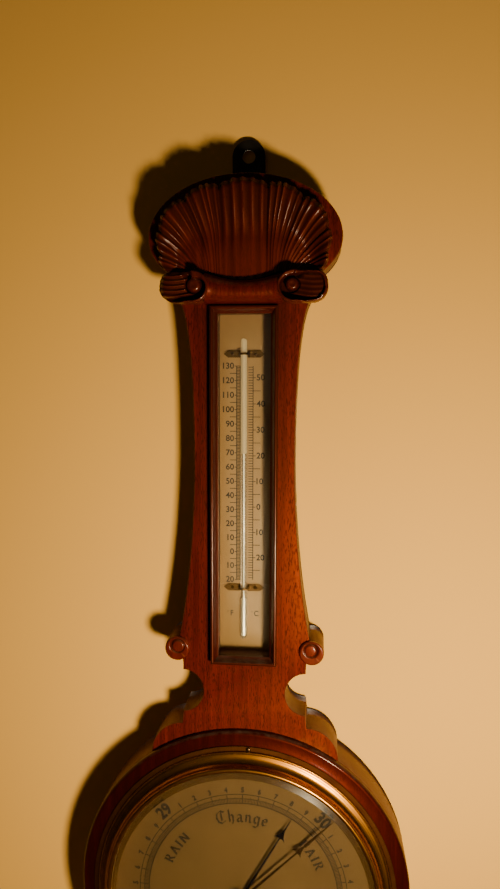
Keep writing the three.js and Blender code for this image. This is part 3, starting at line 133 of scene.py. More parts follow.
def roundEdges(bm, width, segments=2, minAngle=40, chosen=None):
    limit = math.radians(minAngle)
    edges = [
        e for e in bm.edges
        if len(e.link_faces) == 2 and e.calc_face_angle(0) > limit and (chosen is None or chosen(e))
    ]
    bmesh.ops.bevel(
        bm, geom=edges, offset=width, offset_type="OFFSET", affect="EDGES",
        segments=segments, profile=0.5, material=-1, clamp_overlap=True,
    )
    return bm


def addBox(bm, low, high, turn=None):
    size = [b - a for a, b in zip(low, high)]
    middle = [(a + b) / 2 for a, b in zip(low, high)]
    place = Matrix.Translation(middle) @ Matrix.Diagonal((*size, 1))
    bmesh.ops.create_cube(bm, size=1, matrix=(turn @ place) if turn else place)
    return bm


def looseObject(bm, name="work"):
    mesh = bpy.data.meshes.new(name)
    bm.to_mesh(mesh)
    bm.free()
    piece = bpy.data.objects.new(name, mesh)
    bpy.context.scene.collection.objects.link(piece)
    return piece


def evaluated(piece):  # the piece with its modifiers applied, as a new bmesh
    bpy.context.view_layer.update()
    result = bmesh.new()
    result.from_object(piece, bpy.context.evaluated_depsgraph_get())
    return result


def dropObject(piece):
    data = piece.data
    bpy.data.objects.remove(piece)
    if isinstance(data, bpy.types.Mesh):
        bpy.data.meshes.remove(data)
    else:
        bpy.data.curves.remove(data)


def cutAway(bm, cutters):
    body = looseObject(bm)
    tools = [looseObject(cutter) for cutter in cutters]
    for tool in tools:
        cut = body.modifiers.new("cut", "BOOLEAN")
        cut.operation = "DIFFERENCE"
        cut.solver = "EXACT"
        cut.object = tool
    result = evaluated(body)
    for piece in [body, *tools]:
        dropObject(piece)
    return result


def merge(bm, other, matrix=None, keep=False):  # adds other to bm
    mesh = bpy.data.meshes.new("part")
    other.to_mesh(mesh)
    if matrix is not None:
        mesh.transform(matrix)
    bm.from_mesh(mesh)
    bpy.data.meshes.remove(mesh)
    if not keep:
        other.free()


def closeBack(bm, zBack):  # walls from the open rim down to zBack, and a flat back
    rim = [e for e in bm.edges if e.is_boundary]
    grown = bmesh.ops.extrude_edge_only(bm, edges=rim)
    for vert in grownVerts(grown):
        vert.co.z = zBack
    bmesh.ops.contextual_create(bm, geom=[e for e in bm.edges if e.is_boundary])
    return bm


def makePiece(name, bm, body, material, standsFor=(), sharp=40, faceOut=True):
    if faceOut:
        bmesh.ops.recalc_face_normals(bm, faces=bm.faces[:])
    bm.transform(frontFrame)
    limit = math.radians(sharp)
    for face in bm.faces:
        face.smooth = True
    for edge in bm.edges:
        edge.smooth = len(edge.link_faces) == 2 and edge.calc_face_angle(0) < limit
    piece = looseObject(bm, name)
    piece.data.materials.append(material)
    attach(piece, body)
    if standsFor:
        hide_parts(*standsFor)
    return piece


def secondFinish(piece, material, chosen):  # for the faces whose middle chosen picks
    piece.data.materials.append(material)
    inverse = frontFrame.inverted()
    for face in piece.data.polygons:
        if chosen(inverse @ face.center):
            face.material_index = 1


# Shared shader groups

def newGroup(name, inputs, outputs):
    tree = bpy.data.node_groups.new(name, "ShaderNodeTree")
    kinds = {"value": "NodeSocketFloat", "colour": "NodeSocketColor", "vector": "NodeSocketVector"}
    for label, kind, default in inputs:
        socket = tree.interface.new_socket(label, in_out="INPUT", socket_type=kinds[kind])
        if default is not None:
            socket.default_value = default
    for label, kind in outputs:
        tree.interface.new_socket(label, in_out="OUTPUT", socket_type=kinds[kind])
    start = tree.nodes.new("NodeGroupInput")
    end = tree.nodes.new("NodeGroupOutput")
    return tree, start.outputs, end.inputs


def addNode(tree, kind, settings=None, values=None, links=None):
    node = tree.nodes.new(kind)
    for key, value in (settings or {}).items():
        setattr(node, key, value)
    for key, value in (values or {}).items():
        node.inputs[key].default_value = value
    for key, source in (links or {}).items():
        tree.links.new(source, node.inputs[key])
    return node


def mathNode(tree, operation, a, b=None, clamp=False):
    node = addNode(tree, "ShaderNodeMath", {"operation": operation, "use_clamp": clamp})
    for index, value in enumerate((a, b)):
        if value is None:
            continue
        if isinstance(value, (int, float)):
            node.inputs[index].default_value = value
        else:
            tree.links.new(value, node.inputs[index])
    return node.outputs[0]


def mixColour(tree, factor, a, b, blend="MIX"):
    node = addNode(tree, "ShaderNodeMix", {"data_type": "RGBA", "blend_type": blend})
    for index, value in ((0, factor), (6, a), (7, b)):
        if isinstance(value, bpy.types.NodeSocket):
            tree.links.new(value, node.inputs[index])
        else:
            node.inputs[index].default_value = value
    return node.outputs[2]


def mapRange(tree, value, low, high, toLow=0.0, toHigh=1.0):
    node = addNode(tree, "ShaderNodeMapRange", values={1: low, 2: high, 3: toLow, 4: toHigh})
    tree.links.new(value, node.inputs[0])
    return node.outputs[0]


def noiseNode(tree, vector, scale, detail=3.0, roughness=0.55, stretch=None):
    if stretch is not None:
        mapped = addNode(tree, "ShaderNodeMapping", values={"Scale": stretch}, links={"Vector": vector})
        vector = mapped.outputs[0]
    node = addNode(
        tree, "ShaderNodeTexNoise", values={"Detail": detail, "Roughness": roughness},
        links={"Vector": vector},
    )
    if isinstance(scale, bpy.types.NodeSocket):
        tree.links.new(scale, node.inputs["Scale"])
    else:
        node.inputs["Scale"].default_value = scale
    return node.outputs["Fac"]


# Each noise below is scale, detail, roughness and, where the pattern is drawn out, its stretch
grainLook = {
    "drift": (26.0, 3.0, 0.6, (1, 1, 0.22)), "driftShare": 0.9,
    "fibre": (620.0, 4.0, 0.62, (1, 1, 0.03)), "fibreTone": (0.3, 0.75, 0.45, 1.25),
    "flecks": (1900.0, 1.0, 0.4, (1, 1, 0.15)), "fleckRange": (0.54, 0.66),
    "bands": {"Scale": 34.0, "Distortion": 5.0, "Detail": 3.0, "Detail Scale": 1.4, "Detail Roughness": 0.6},
    "bandStretch": (1, 1, 0.09), "bandShare": 0.25, "toneRange": (0.15, 0.95), "poreTint": (0.3, 0.25, 0.25, 1),
    "fibreHeight": 0.5, "fibreRough": 0.12, "poreRough": 0.2,
}


def woodGrainGroup():  # upright grain: broad colour drift, fibre streaks and short dark pores
    look = grainLook
    tree, given, out = newGroup(
        "woodGrain",
        [("Vector", "vector", None), ("Light", "colour", (0.3, 0.1, 0.03, 1)),
         ("Dark", "colour", (0.08, 0.02, 0.008, 1)), ("Streaks", "value", 0.6),
         ("Pores", "value", 0.6)],
        [("Color", "colour"), ("Height", "value"), ("Rough", "value")],
    )
    vector = given["Vector"]
    drift = noiseNode(tree, vector, *look["drift"])
    bandMap = addNode(
        tree, "ShaderNodeMapping", values={"Scale": look["bandStretch"]}, links={"Vector": vector},
    )
    bands = addNode(
        tree, "ShaderNodeTexWave", {"wave_type": "BANDS", "bands_direction": "X", "wave_profile": "SIN"},
        look["bands"], {"Vector": bandMap.outputs[0]},
    )
    fibre = noiseNode(tree, vector, *look["fibre"])
    flecks = noiseNode(tree, vector, *look["flecks"])
    poreMask = mathNode(tree, "MULTIPLY", mapRange(tree, flecks, *look["fleckRange"]), given["Pores"])
    lean = mathNode(
        tree, "ADD", mathNode(tree, "MULTIPLY", drift, look["driftShare"]),
        mathNode(tree, "MULTIPLY", bands.outputs["Fac"], look["bandShare"]),
    )
    base = mixColour(tree, mapRange(tree, lean, *look["toneRange"]), given["Dark"], given["Light"])
    streakTone = mapRange(tree, fibre, *look["fibreTone"])
    greyTone = addNode(tree, "ShaderNodeCombineColor", links={0: streakTone, 1: streakTone, 2: streakTone})
    streaked = mixColour(tree, given["Streaks"], base, greyTone.outputs[0], "MULTIPLY")
    poreColour = mixColour(tree, 1.0, given["Dark"], look["poreTint"], "MULTIPLY")
    colour = mixColour(tree, poreMask, streaked, poreColour)
    height = mathNode(tree, "SUBTRACT", mathNode(tree, "MULTIPLY", fibre, look["fibreHeight"]), poreMask)
    rough = mathNode(
        tree, "ADD", mathNode(tree, "MULTIPLY", fibre, look["fibreRough"]),
        mathNode(tree, "MULTIPLY", poreMask, look["poreRough"]),
    )
    tree.links.new(colour, out["Color"])
    tree.links.new(height, out["Height"])
    tree.links.new(rough, out["Rough"])
    return tree


wearLook = {"breakupDetail": 2.0, "breakupRange": (0.35, 0.65, 0.25, 1.0), "hollowRange": (0.5, 0.42)}


def edgeWearGroup():  # bright where corners stick out, broken up by noise
    tree, given, out = newGroup(
        "edgeWear",
        [("Vector", "vector", None), ("Start", "value", 0.52), ("End", "value", 0.6), ("Breakup", "value", 220.0)],
        [("Mask", "value"), ("Hollow", "value")],
    )
    point = addNode(tree, "ShaderNodeNewGeometry").outputs["Pointiness"]
    ramp = addNode(tree, "ShaderNodeMapRange", links={0: point, 1: given["Start"], 2: given["End"]})
    cloud = noiseNode(tree, given["Vector"], given["Breakup"], wearLook["breakupDetail"])
    broken = mapRange(tree, cloud, *wearLook["breakupRange"])
    tree.links.new(mathNode(tree, "MULTIPLY", ramp.outputs[0], broken, True), out["Mask"])
    tree.links.new(mapRange(tree, point, *wearLook["hollowRange"]), out["Hollow"])
    return tree


dustLook = {"upRange": (0.25, 0.95), "cloudDetail": 4.0, "cloudRoughness": 0.65, "cloudRange": (0.35, 0.7)}


def settledDustGroup():  # thin dust on what faces up
    tree, given, out = newGroup(
        "settledDust",
        [("Vector", "vector", None), ("Amount", "value", 0.3), ("Scale", "value", 160.0)],
        [("Mask", "value")],
    )
    geometry = addNode(tree, "ShaderNodeNewGeometry")
    parts = addNode(tree, "ShaderNodeSeparateXYZ", links={0: geometry.outputs["Normal"]})
    up = mapRange(tree, parts.outputs["Z"], *dustLook["upRange"])
    noise = noiseNode(tree, given["Vector"], given["Scale"], dustLook["cloudDetail"], dustLook["cloudRoughness"])
    cloud = mapRange(tree, noise, *dustLook["cloudRange"])
    mask = mathNode(tree, "MULTIPLY", mathNode(tree, "MULTIPLY", up, cloud), given["Amount"], True)
    tree.links.new(mask, out["Mask"])
    return tree


turningLook = {
    "ringsPerMetre": 3000.0, "rings": (1.0, 3.0, 0.6), "patches": (60.0, 5.0, 0.6),
    "spokes": (1.0, 2.0, 0.5), "spokeStretch": 40.0, "spokeCount": 90.0,
}


def turnedMarksGroup():  # fine rings, rubbed patches and spokes of work turned on a lathe round the dial
    look = turningLook
    tree, given, out = newGroup(
        "turnedMarks",
        [("Vector", "vector", None), ("Fineness", "value", 1.0)],
        [("Rings", "value"), ("Patches", "value"), ("Spokes", "value")],
    )
    parts = addNode(tree, "ShaderNodeSeparateXYZ", links={0: given["Vector"]}).outputs
    angle = mathNode(tree, "ARCTAN2", parts["Z"], parts["X"])
    square = mathNode(
        tree, "ADD", mathNode(tree, "MULTIPLY", parts["X"], parts["X"]),
        mathNode(tree, "MULTIPLY", parts["Z"], parts["Z"]),
    )
    radius = mathNode(tree, "SQRT", square)
    fine = mathNode(tree, "MULTIPLY", radius, given["Fineness"])
    ringSpace = addNode(tree, "ShaderNodeCombineXYZ", links={
        0: mathNode(tree, "MULTIPLY", fine, look["ringsPerMetre"]), 1: parts["Y"], 2: angle,
    })
    spokeSpace = addNode(tree, "ShaderNodeCombineXYZ", links={
        0: mathNode(tree, "MULTIPLY", radius, look["spokeStretch"]), 1: parts["Y"],
        2: mathNode(tree, "MULTIPLY", angle, look["spokeCount"]),
    })
    tree.links.new(noiseNode(tree, ringSpace.outputs[0], *look["rings"]), out["Rings"])
    tree.links.new(noiseNode(tree, given["Vector"], *look["patches"]), out["Patches"])
    tree.links.new(noiseNode(tree, spokeSpace.outputs[0], *look["spokes"]), out["Spokes"])
    return tree


woodGrain = woodGrainGroup()
edgeWear = edgeWearGroup()
settledDust = settledDustGroup()
turnedMarks = turnedMarksGroup()
print("stage: shader groups")


# Materials

def newMaterial(name, shader):
    material = bpy.data.materials.new(name)
    material.use_nodes = True
    tree = material.node_tree
    tree.nodes.clear()
    output = tree.nodes.new("ShaderNodeOutputMaterial")
    principled = addNode(tree, "ShaderNodeBsdfPrincipled", values=shader)
    tree.links.new(principled.outputs[0], output.inputs["Surface"])
    coords = addNode(tree, "ShaderNodeTexCoord").outputs["Object"]
    return material, tree, principled, coords, output


def placeGroup(tree, group, values=None, links=None):
    return addNode(tree, "ShaderNodeGroup", {"node_tree": group}, values, links).outputs


def moved(tree, coords, shift=(0, 0, 0), turn=(0, 0, 0)):
    return addNode(
        tree, "ShaderNodeMapping", values={"Location": shift, "Rotation": turn}, links={"Vector": coords},
    ).outputs[0]


def addBump(tree, principled, height, distance):
    bump = addNode(tree, "ShaderNodeBump", values={"Distance": distance, "Strength": 1.0}, links={"Height": height})
    tree.links.new(bump.outputs[0], principled.inputs["Normal"])


def woodMaterial(name, look):
    material, tree, principled, coords, _ = newMaterial(name, {
        "Roughness": 0.4, "Specular IOR Level": 0.4, "Specular Tint": look["sheen"], "Coat Weight": look["polish"],
        "Coat Roughness": look["polishRoughness"], "Coat IOR": 1.5,
    })
    grain = placeGroup(tree, woodGrain, {
        "Light": look["light"], "Dark": look["dark"], "Streaks": look["streaks"], "Pores": look["pores"],
    }, {"Vector": coords})
    wear = placeGroup(tree, edgeWear, {"Start": look["wearStart"], "End": look["wearEnd"]}, {"Vector": coords})
    dust = placeGroup(tree, settledDust, {"Amount": look["dust"]}, {"Vector": coords})
    colour = grain["Color"]
    rough = mathNode(tree, "ADD", grain["Rough"], look["roughness"])
    if look["carved"]:  # the carving's hollows are darkened: partly polish gathered there, partly painted shade
        depth = addNode(tree, "ShaderNodeAttribute", {"attribute_name": "hollowPolishAndShade"}).outputs["Fac"]
        darkness = mathNode(tree, "MULTIPLY", depth, look["hollowShade"], True)
        colour = mixColour(tree, darkness, colour, look["hollow"])
        coat = mapRange(tree, darkness, 0.0, look["coatEnd"], look["polish"], 0.0)
        tree.links.new(coat, principled.inputs["Coat Weight"])
        rough = mathNode(tree, "ADD", rough, mathNode(tree, "MULTIPLY", darkness, look["hollowRough"]), True)
    hollow = mathNode(tree, "MULTIPLY", wear["Hollow"], look["grime"], True)
    colour = mixColour(tree, hollow, colour, look["hollow"])
    geometry = addNode(tree, "ShaderNodeNewGeometry")
    facing = addNode(tree, "ShaderNodeSeparateXYZ", links={0: geometry.outputs["Normal"]}).outputs["Y"]
    side = mapRange(tree, mathNode(tree, "ABSOLUTE", facing), 0.6, 0.3, 0.0, look["sideReflectionShare"])
    colour = mixColour(tree, side, colour, look["sideReflectionTint"])  # painted reflection: faces turned away from the front take the pale tan of the lit wall
    rubbed = mathNode(tree, "MULTIPLY", wear["Mask"], look["wear"], True)
    colour = mixColour(tree, rubbed, colour, look["rubbed"])
    colour = mixColour(tree, dust["Mask"], colour, look["dustColour"])
    tree.links.new(colour, principled.inputs["Base Color"])
    rough = mathNode(tree, "ADD", rough, mathNode(tree, "MULTIPLY", dust["Mask"], look["dustRough"]), True)
    tree.links.new(rough, principled.inputs["Roughness"])
    addBump(tree, principled, grain["Height"], look["bump"])
    return material


trunkLook = {
    "light": (0.138, 0.0108, 0.0042, 1), "dark": (0.05, 0.0034, 0.002, 1), "hollow": (0.018, 0.003, 0.001, 1),
    "rubbed": (0.40, 0.13, 0.03, 1), "sideReflectionTint": (0.08, 0.046, 0.028, 1), "dustColour": (0.42, 0.33, 0.24, 1),
    "streaks": 0.8, "pores": 0.85, "polish": 0.0, "polishRoughness": 0.25, "sheen": (1.0, 0.2, 0.04, 1),
    "roughness": 0.38, "sideReflectionShare": 0.0, "wear": 0.5, "wearStart": 0.52, "wearEnd": 0.62, "grime": 0.75,
    "dust": 0.12, "dustRough": 0.35, "bump": 0.00005, "carved": False,
}
carvedLook = dict(
    trunkLook, light=(0.13, 0.0105, 0.0014, 1), dark=(0.045, 0.0032, 0.0007, 1), hollow=(0.006, 0.0007, 0.0004, 1),
    rubbed=(0.34, 0.10, 0.035, 1), streaks=0.55, pores=0.35, polish=0.6, polishRoughness=0.22, roughness=0.36,
    wearStart=0.53, wearEnd=0.66, bump=0.00004, carved=True, hollowShade=0.85, hollowRough=0.4, coatEnd=0.7,
)
redLook = dict(
    trunkLook, rubbed=(0.2, 0.03, 0.008, 1), polishRoughness=0.2, roughness=0.36, wear=0.4, wearStart=0.55,
    wearEnd=0.7, bump=0.00003,
)
mahogany = woodMaterial("mahogany", dict(trunkLook, sideReflectionShare=0.8))
carvedMahogany = woodMaterial("carvedMahogany", carvedLook)
ringMahogany = woodMaterial("ringMahogany", dict(
    redLook, light=(0.034, 0.0016, 0.0009, 1), dark=(0.012, 0.0007, 0.0005, 1), sheen=(0.7, 0.09, 0.03, 1),
    streaks=0.75, pores=0.6, polish=0.16, polishRoughness=0.1,
))
# a darker copy of the carved mahogany: painted shade on the volutes
shadedVoluteMahogany = woodMaterial("shadedVoluteMahogany", dict(
    carvedLook, light=(0.085, 0.0075, 0.0022, 1), dark=(0.03, 0.0024, 0.001, 1),
))
frameMahogany = woodMaterial("frameMahogany", dict(
    redLook, light=(0.062, 0.0042, 0.0018, 1), dark=(0.026, 0.0016, 0.001, 1), streaks=0.7, pores=0.4, polish=0.5,
))
rollMahogany = woodMaterial("rollMahogany", dict(
    redLook, light=(0.12, 0.0075, 0.003, 1), dark=(0.055, 0.003, 0.0014, 1), streaks=0.9, pores=0.7, polish=0.3,
))


def brassMaterial(name, look):  # lacquered brass with turned rings, rubbed spots and dull hollows
    material, tree, principled, coords, _ = newMaterial(name, {
        "Metallic": 1.0, "Roughness": 0.25, "Coat Weight": look["lacquer"], "Coat Roughness": 0.12,
    })
    centred = moved(tree, coords, (0, 0, -dialHeight))
    marks = placeGroup(tree, turnedMarks, {"Fineness": look["fineness"]}, {"Vector": centred})
    wear = placeGroup(tree, edgeWear, {"Start": 0.53, "End": 0.68}, {"Vector": coords})
    patches = mapRange(tree, marks["Patches"], 0.35, 0.7)
    colour = mixColour(tree, patches, look["bright"], look["dull"])
    hollow = mathNode(tree, "MULTIPLY", wear["Hollow"], look["hollowGrime"], True)
    colour = mixColour(tree, hollow, colour, look["grime"])
    rubbed = mathNode(tree, "MULTIPLY", wear["Mask"], look["wear"], True)
    colour = mixColour(tree, rubbed, colour, look["edge"])
    tree.links.new(colour, principled.inputs["Base Color"])
    rings = mapRange(tree, marks["Rings"], 0.3, 0.7, look["roughness"], look["roughness"] + look["ringRough"])
    rough = mathNode(tree, "ADD", mathNode(tree, "MULTIPLY", patches, look["dullness"]), rings)
    tree.links.new(rough, principled.inputs["Roughness"])
    addBump(tree, principled, marks[look["pattern"]], look["bump"])
    return material


brassLook = {
    "bright": (0.5, 0.215, 0.017, 1), "dull": (0.32, 0.12, 0.01, 1), "grime": (0.07, 0.025, 0.006, 1),
    "edge": (0.95, 0.55, 0.12, 1), "wear": 0.5, "hollowGrime": 0.8, "roughness": 0.21, "ringRough": 0.08,
    "dullness": 0.08, "fineness": 1.0, "bump": 0.00001, "lacquer": 0.05, "pattern": "Rings",
}
lacqueredBrass = brassMaterial("lacqueredBrass", brassLook)
flangeBrass = brassMaterial("flangeBrass", dict(
    brassLook, bright=(0.17, 0.062, 0.015, 1), dull=(0.08, 0.026, 0.008, 1), roughness=0.36, lacquer=0.0,
    bump=0.0001, pattern="Spokes",
))
clipBrass = brassMaterial("clipBrass", dict(
    brassLook, bright=(0.06, 0.032, 0.01, 1), dull=(0.035, 0.018, 0.006, 1), edge=(0.13, 0.07, 0.022, 1),
    roughness=0.45, lacquer=0.0,
))
pinBrass = brassMaterial("pinBrass", dict(
    brassLook, bright=(0.035, 0.018, 0.008, 1), dull=(0.02, 0.01, 0.005, 1), edge=(0.06, 0.03, 0.012, 1),
    roughness=0.4, lacquer=0.0,
))
movementBrass = brassMaterial("movementBrass", dict(
    brassLook, bright=(0.78, 0.55, 0.22, 1), dull=(0.6, 0.4, 0.15, 1), roughness=0.3, lacquer=0.15,
))
plateBrass = brassMaterial("plateBrass", dict(
    brassLook, bright=(0.62, 0.42, 0.17, 1), dull=(0.36, 0.24, 0.1, 1), roughness=0.36, lacquer=0.2, fineness=0.6,
))


def steelMaterial(name, look):  # drawn or filed steel and iron
    material, tree, principled, coords, _ = newMaterial(name, {"Metallic": look["metallic"], "Roughness": 0.35})
    filed = noiseNode(tree, coords, look["grain"], 3.0, 0.6, look["stretch"])
    cloud = mapRange(tree, noiseNode(tree, coords, 90.0, 4.0, 0.6), 0.35, 0.68)
    wear = placeGroup(tree, edgeWear, {"Start": 0.53, "End": 0.66}, {"Vector": coords})
    colour = mixColour(tree, cloud, look["bright"], look["dull"])
    rubbed = mathNode(tree, "MULTIPLY", wear["Mask"], look["wear"], True)
    colour = mixColour(tree, rubbed, colour, look["edge"])
    tree.links.new(colour, principled.inputs["Base Color"])
    rough = mapRange(tree, filed, 0.3, 0.7, look["roughness"], look["roughness"] + look["filedRough"])
    tree.links.new(rough, principled.inputs["Roughness"])
    addBump(tree, principled, filed, look["bump"])
    return material


steelLook = {
    "bright": (0.52, 0.53, 0.55, 1), "dull": (0.33, 0.33, 0.34, 1), "edge": (0.75, 0.75, 0.76, 1), "wear": 0.6,
    "metallic": 1.0, "roughness": 0.22, "filedRough": 0.18, "grain": 900.0, "stretch": (1, 1, 0.1), "bump": 0.00002,
}
steel = steelMaterial("steel", steelLook)
bluedSteel = steelMaterial("bluedSteel", dict(
    steelLook, bright=(0.02, 0.026, 0.06, 1), dull=(0.012, 0.013, 0.022, 1), edge=(0.09, 0.08, 0.09, 1),
    roughness=0.2,
))
blackIron = steelMaterial("blackIron", dict(
    steelLook, bright=(0.02, 0.018, 0.016, 1), dull=(0.035, 0.024, 0.018, 1), edge=(0.14, 0.12, 0.1, 1),
    metallic=0.7, roughness=0.48, grain=420.0, stretch=(1, 1, 1), bump=0.00015,
))
nickelSilver = steelMaterial("nickelSilver", dict(
    steelLook, bright=(0.62, 0.6, 0.55, 1), dull=(0.45, 0.43, 0.38, 1), roughness=0.24,
))
quicksilver = steelMaterial("quicksilver", dict(
    steelLook, bright=(0.93, 0.93, 0.92, 1), dull=(0.86, 0.86, 0.85, 1), edge=(0.95, 0.95, 0.94, 1),
    roughness=0.34, bump=0.000001,
))
darkBronze = steelMaterial("darkBronze", dict(
    steelLook, bright=(0.13, 0.07, 0.03, 1), dull=(0.05, 0.03, 0.018, 1), edge=(0.4, 0.25, 0.12, 1),
    roughness=0.28,
))
agedBronze = steelMaterial("agedBronze", dict(
    steelLook, bright=(0.045, 0.021, 0.009, 1), dull=(0.022, 0.011, 0.006, 1), edge=(0.13, 0.06, 0.02, 1),
    roughness=0.36,
))


def paperMaterial(name, look):  # enamelled or celluloid faces with age spots, darker towards the rim
    material, tree, principled, coords, _ = newMaterial(name, {
        "Roughness": 0.4, "Coat Weight": look["gloss"], "Coat Roughness": 0.4,
        "Specular IOR Level": 0.4, "Metallic": look["metallic"],
    })
    centred = moved(tree, coords, look["centre"])
    cloud = noiseNode(tree, centred, 22.0, 5.0, 0.62)
    speckle = noiseNode(tree, centred, 900.0, 2.0, 0.5)
    grit = noiseNode(tree, centred, 3200.0, 2.0, 0.5)
    distance = addNode(tree, "ShaderNodeVectorMath", {"operation": "LENGTH"}, links={0: centred}).outputs["Value"]
    rim = mapRange(tree, distance, look["rimStart"], look["rimEnd"])
    stain = mapRange(tree, cloud, 0.35, 0.7, 0.0, look["stain"])
    tone = mathNode(tree, "ADD", stain, mathNode(tree, "MULTIPLY", rim, look["rimTone"]), True)
    colour = mixColour(tree, tone, look["fresh"], look["aged"])
    spots = mathNode(tree, "MULTIPLY", mapRange(tree, speckle, 0.66, 0.75), look["spots"])
    colour = mixColour(tree, spots, colour, look["spot"])
    tree.links.new(colour, principled.inputs["Base Color"])
    rough = mapRange(tree, cloud, 0.3, 0.7, look["roughness"], look["roughness"] + look["stainRough"])
    tree.links.new(rough, principled.inputs["Roughness"])
    addBump(tree, principled, grit, look["bump"])
    return material


enamelLook = {
    "fresh": (0.215, 0.127, 0.038, 1), "aged": (0.155, 0.087, 0.024, 1), "spot": (0.09, 0.05, 0.02, 1),
    "centre": (0, 0, -dialHeight), "rimStart": 0.055, "rimEnd": 0.115, "rimTone": 0.5, "stain": 0.55, "spots": 0.5,
    "gloss": 0.0, "roughness": 0.5, "stainRough": 0.15, "metallic": 0.1, "bump": 0.00001,
}
dialEnamel = paperMaterial("dialEnamel", enamelLook)
ivorine = paperMaterial("ivorine", dict(
    enamelLook, fresh=(0.28, 0.165, 0.056, 1), aged=(0.21, 0.115, 0.035, 1), spot=(0.12, 0.06, 0.02, 1),
    centre=(0, 0, 0.25), rimStart=0.08, rimEnd=0.16, gloss=0.6, roughness=0.4, metallic=0.0,
))

inkLook = {"fresh": (0.006, 0.005, 0.004, 1), "worn": (0.03, 0.02, 0.012, 1), "noise": (700.0, 3.0, 0.6)}


def inkMaterial():
    material, tree, principled, coords, _ = newMaterial("ink", {"Roughness": 0.55, "Specular IOR Level": 0.3})
    worn = mapRange(tree, noiseNode(tree, coords, *inkLook["noise"]), 0.4, 0.75)
    tree.links.new(mixColour(tree, worn, inkLook["fresh"], inkLook["worn"]), principled.inputs["Base Color"])
    return material


ink = inkMaterial()


def lightThrough(tree, principled, output, passed=0.96):  # light reaches what lies behind the glass
    clear = addNode(tree, "ShaderNodeBsdfTransparent", values={"Color": (passed, passed, passed * 0.98, 1)})
    lightPath = addNode(tree, "ShaderNodeLightPath")
    plain = mathNode(tree, "MAXIMUM", lightPath.outputs["Is Shadow Ray"], lightPath.outputs["Is Diffuse Ray"])
    blend = addNode(tree, "ShaderNodeMixShader", links={0: plain, 1: principled.outputs[0], 2: clear.outputs[0]})
    tree.links.new(blend.outputs[0], output.inputs["Surface"])


def glassMaterial(name, tint, roughness, passed=0.96):
    material, tree, principled, coords, output = newMaterial(name, {
        "Base Color": tint, "Roughness": roughness, "IOR": 1.5, "Transmission Weight": 1.0,
    })
    smears = noiseNode(tree, coords, 45.0, 5.0, 0.65)
    smeared = mapRange(tree, smears, 0.5, 0.75, roughness, roughness + 0.012)
    tree.links.new(smeared, principled.inputs["Roughness"])
    lightThrough(tree, principled, output, passed)
    return material


def tubeMaterial(name, body, clearness):  # the edges are painted dark where the glass turns away, standing in for what the round tube refracts
    material, tree, principled, _, output = newMaterial(name, {
        "Roughness": 0.05, "IOR": 1.5, "Transmission Weight": clearness, "Coat Weight": 1.0, "Coat Roughness": 0.13,
    })
    turned = addNode(tree, "ShaderNodeLayerWeight", values={"Blend": 0.5}).outputs["Facing"]
    rim = mapRange(tree, turned, 0.5, 0.78)
    tree.links.new(mixColour(tree, rim, body, glassLook["paintedTubeEdge"]), principled.inputs["Base Color"])
    lightThrough(tree, principled, output)
    return material


glassLook = {
    # the bevel's dark brown tint is painted shade and reflection, standing in for what the bevel refracts
    "clear": (0.97, 0.98, 0.96, 1), "bevel": (0.27, 0.19, 0.08, 1), "bevelRough": 0.2,
    "dialPassed": 0.62,  # dims the lamp on the dial
    "milky": (0.8, 0.68, 0.47, 1), "milkyClearness": 0.5, "tube": (0.9, 0.87, 0.8, 1), "tubeClearness": 0.94,
    "paintedTubeEdge": (0.1, 0.055, 0.02, 1),
}
clearGlass = glassMaterial("clearGlass", glassLook["clear"], 0.0)
dialCoverGlass = glassMaterial("dialCoverGlass", glassLook["clear"], 0.0, glassLook["dialPassed"])
shadedBevelGlass = glassMaterial("shadedBevelGlass", glassLook["bevel"], glassLook["bevelRough"], glassLook["dialPassed"])
milkyGlass = tubeMaterial("milkyGlass", glassLook["milky"], glassLook["milkyClearness"])
tubeGlass = tubeMaterial("tubeGlass", glassLook["tube"], glassLook["tubeClearness"])
print("stage: materials")


# Case board: one plank sawn to the whole outline

board = {
    "depth": 34.0, "edgeRound": 0.9, "shortest": 0.05,
    "crest": {"centre": 497.0, "halfWidth": 70.5, "rise": 45.5, "fall": 41.0, "lowAngle": -37.6},
    "trunkTop": (46.5, 450.0), "waist": (37.3, 335.0),
    "topHandles": ((39.23, 430.5), (37.3, 384.5)), "footHandles": ((37.3, 290.3), (41.6, 238.8)),
    "scroll": {"x": 51.2, "y": 190.4, "radius": 9.3, "start": 100, "end": -115},
    "neck": {"x": 47.0, "shoulder": 178.2, "top": 173.0, "bottom": 140.2, "notch": 15.7, "foot": 130.2},
    "ovolo": {"x": 47.9, "y": 105.69, "run": 24.3, "rise": 24.5}, "roundRadius": 128.0,
    "base": {"coveRun": 13.3, "coveHeight": 13.8, "fillet": 3.5, "pendant": 30.0, "drop": 24.5},
    "well": 92.0, "coverRebate": 98.5, "coverDepth": 2.9, "wellSteps": 160,
    "recess": {"halfWidth": 20.6, "low": 184.7, "high": 443.9, "depth": 16.8, "ledge": 1.8, "ledgeDepth": 2.6},
    "hangerSlot": {"halfWidth": 12.8, "bottom": 514.7, "top": 560.0, "depth": 2.7},
}


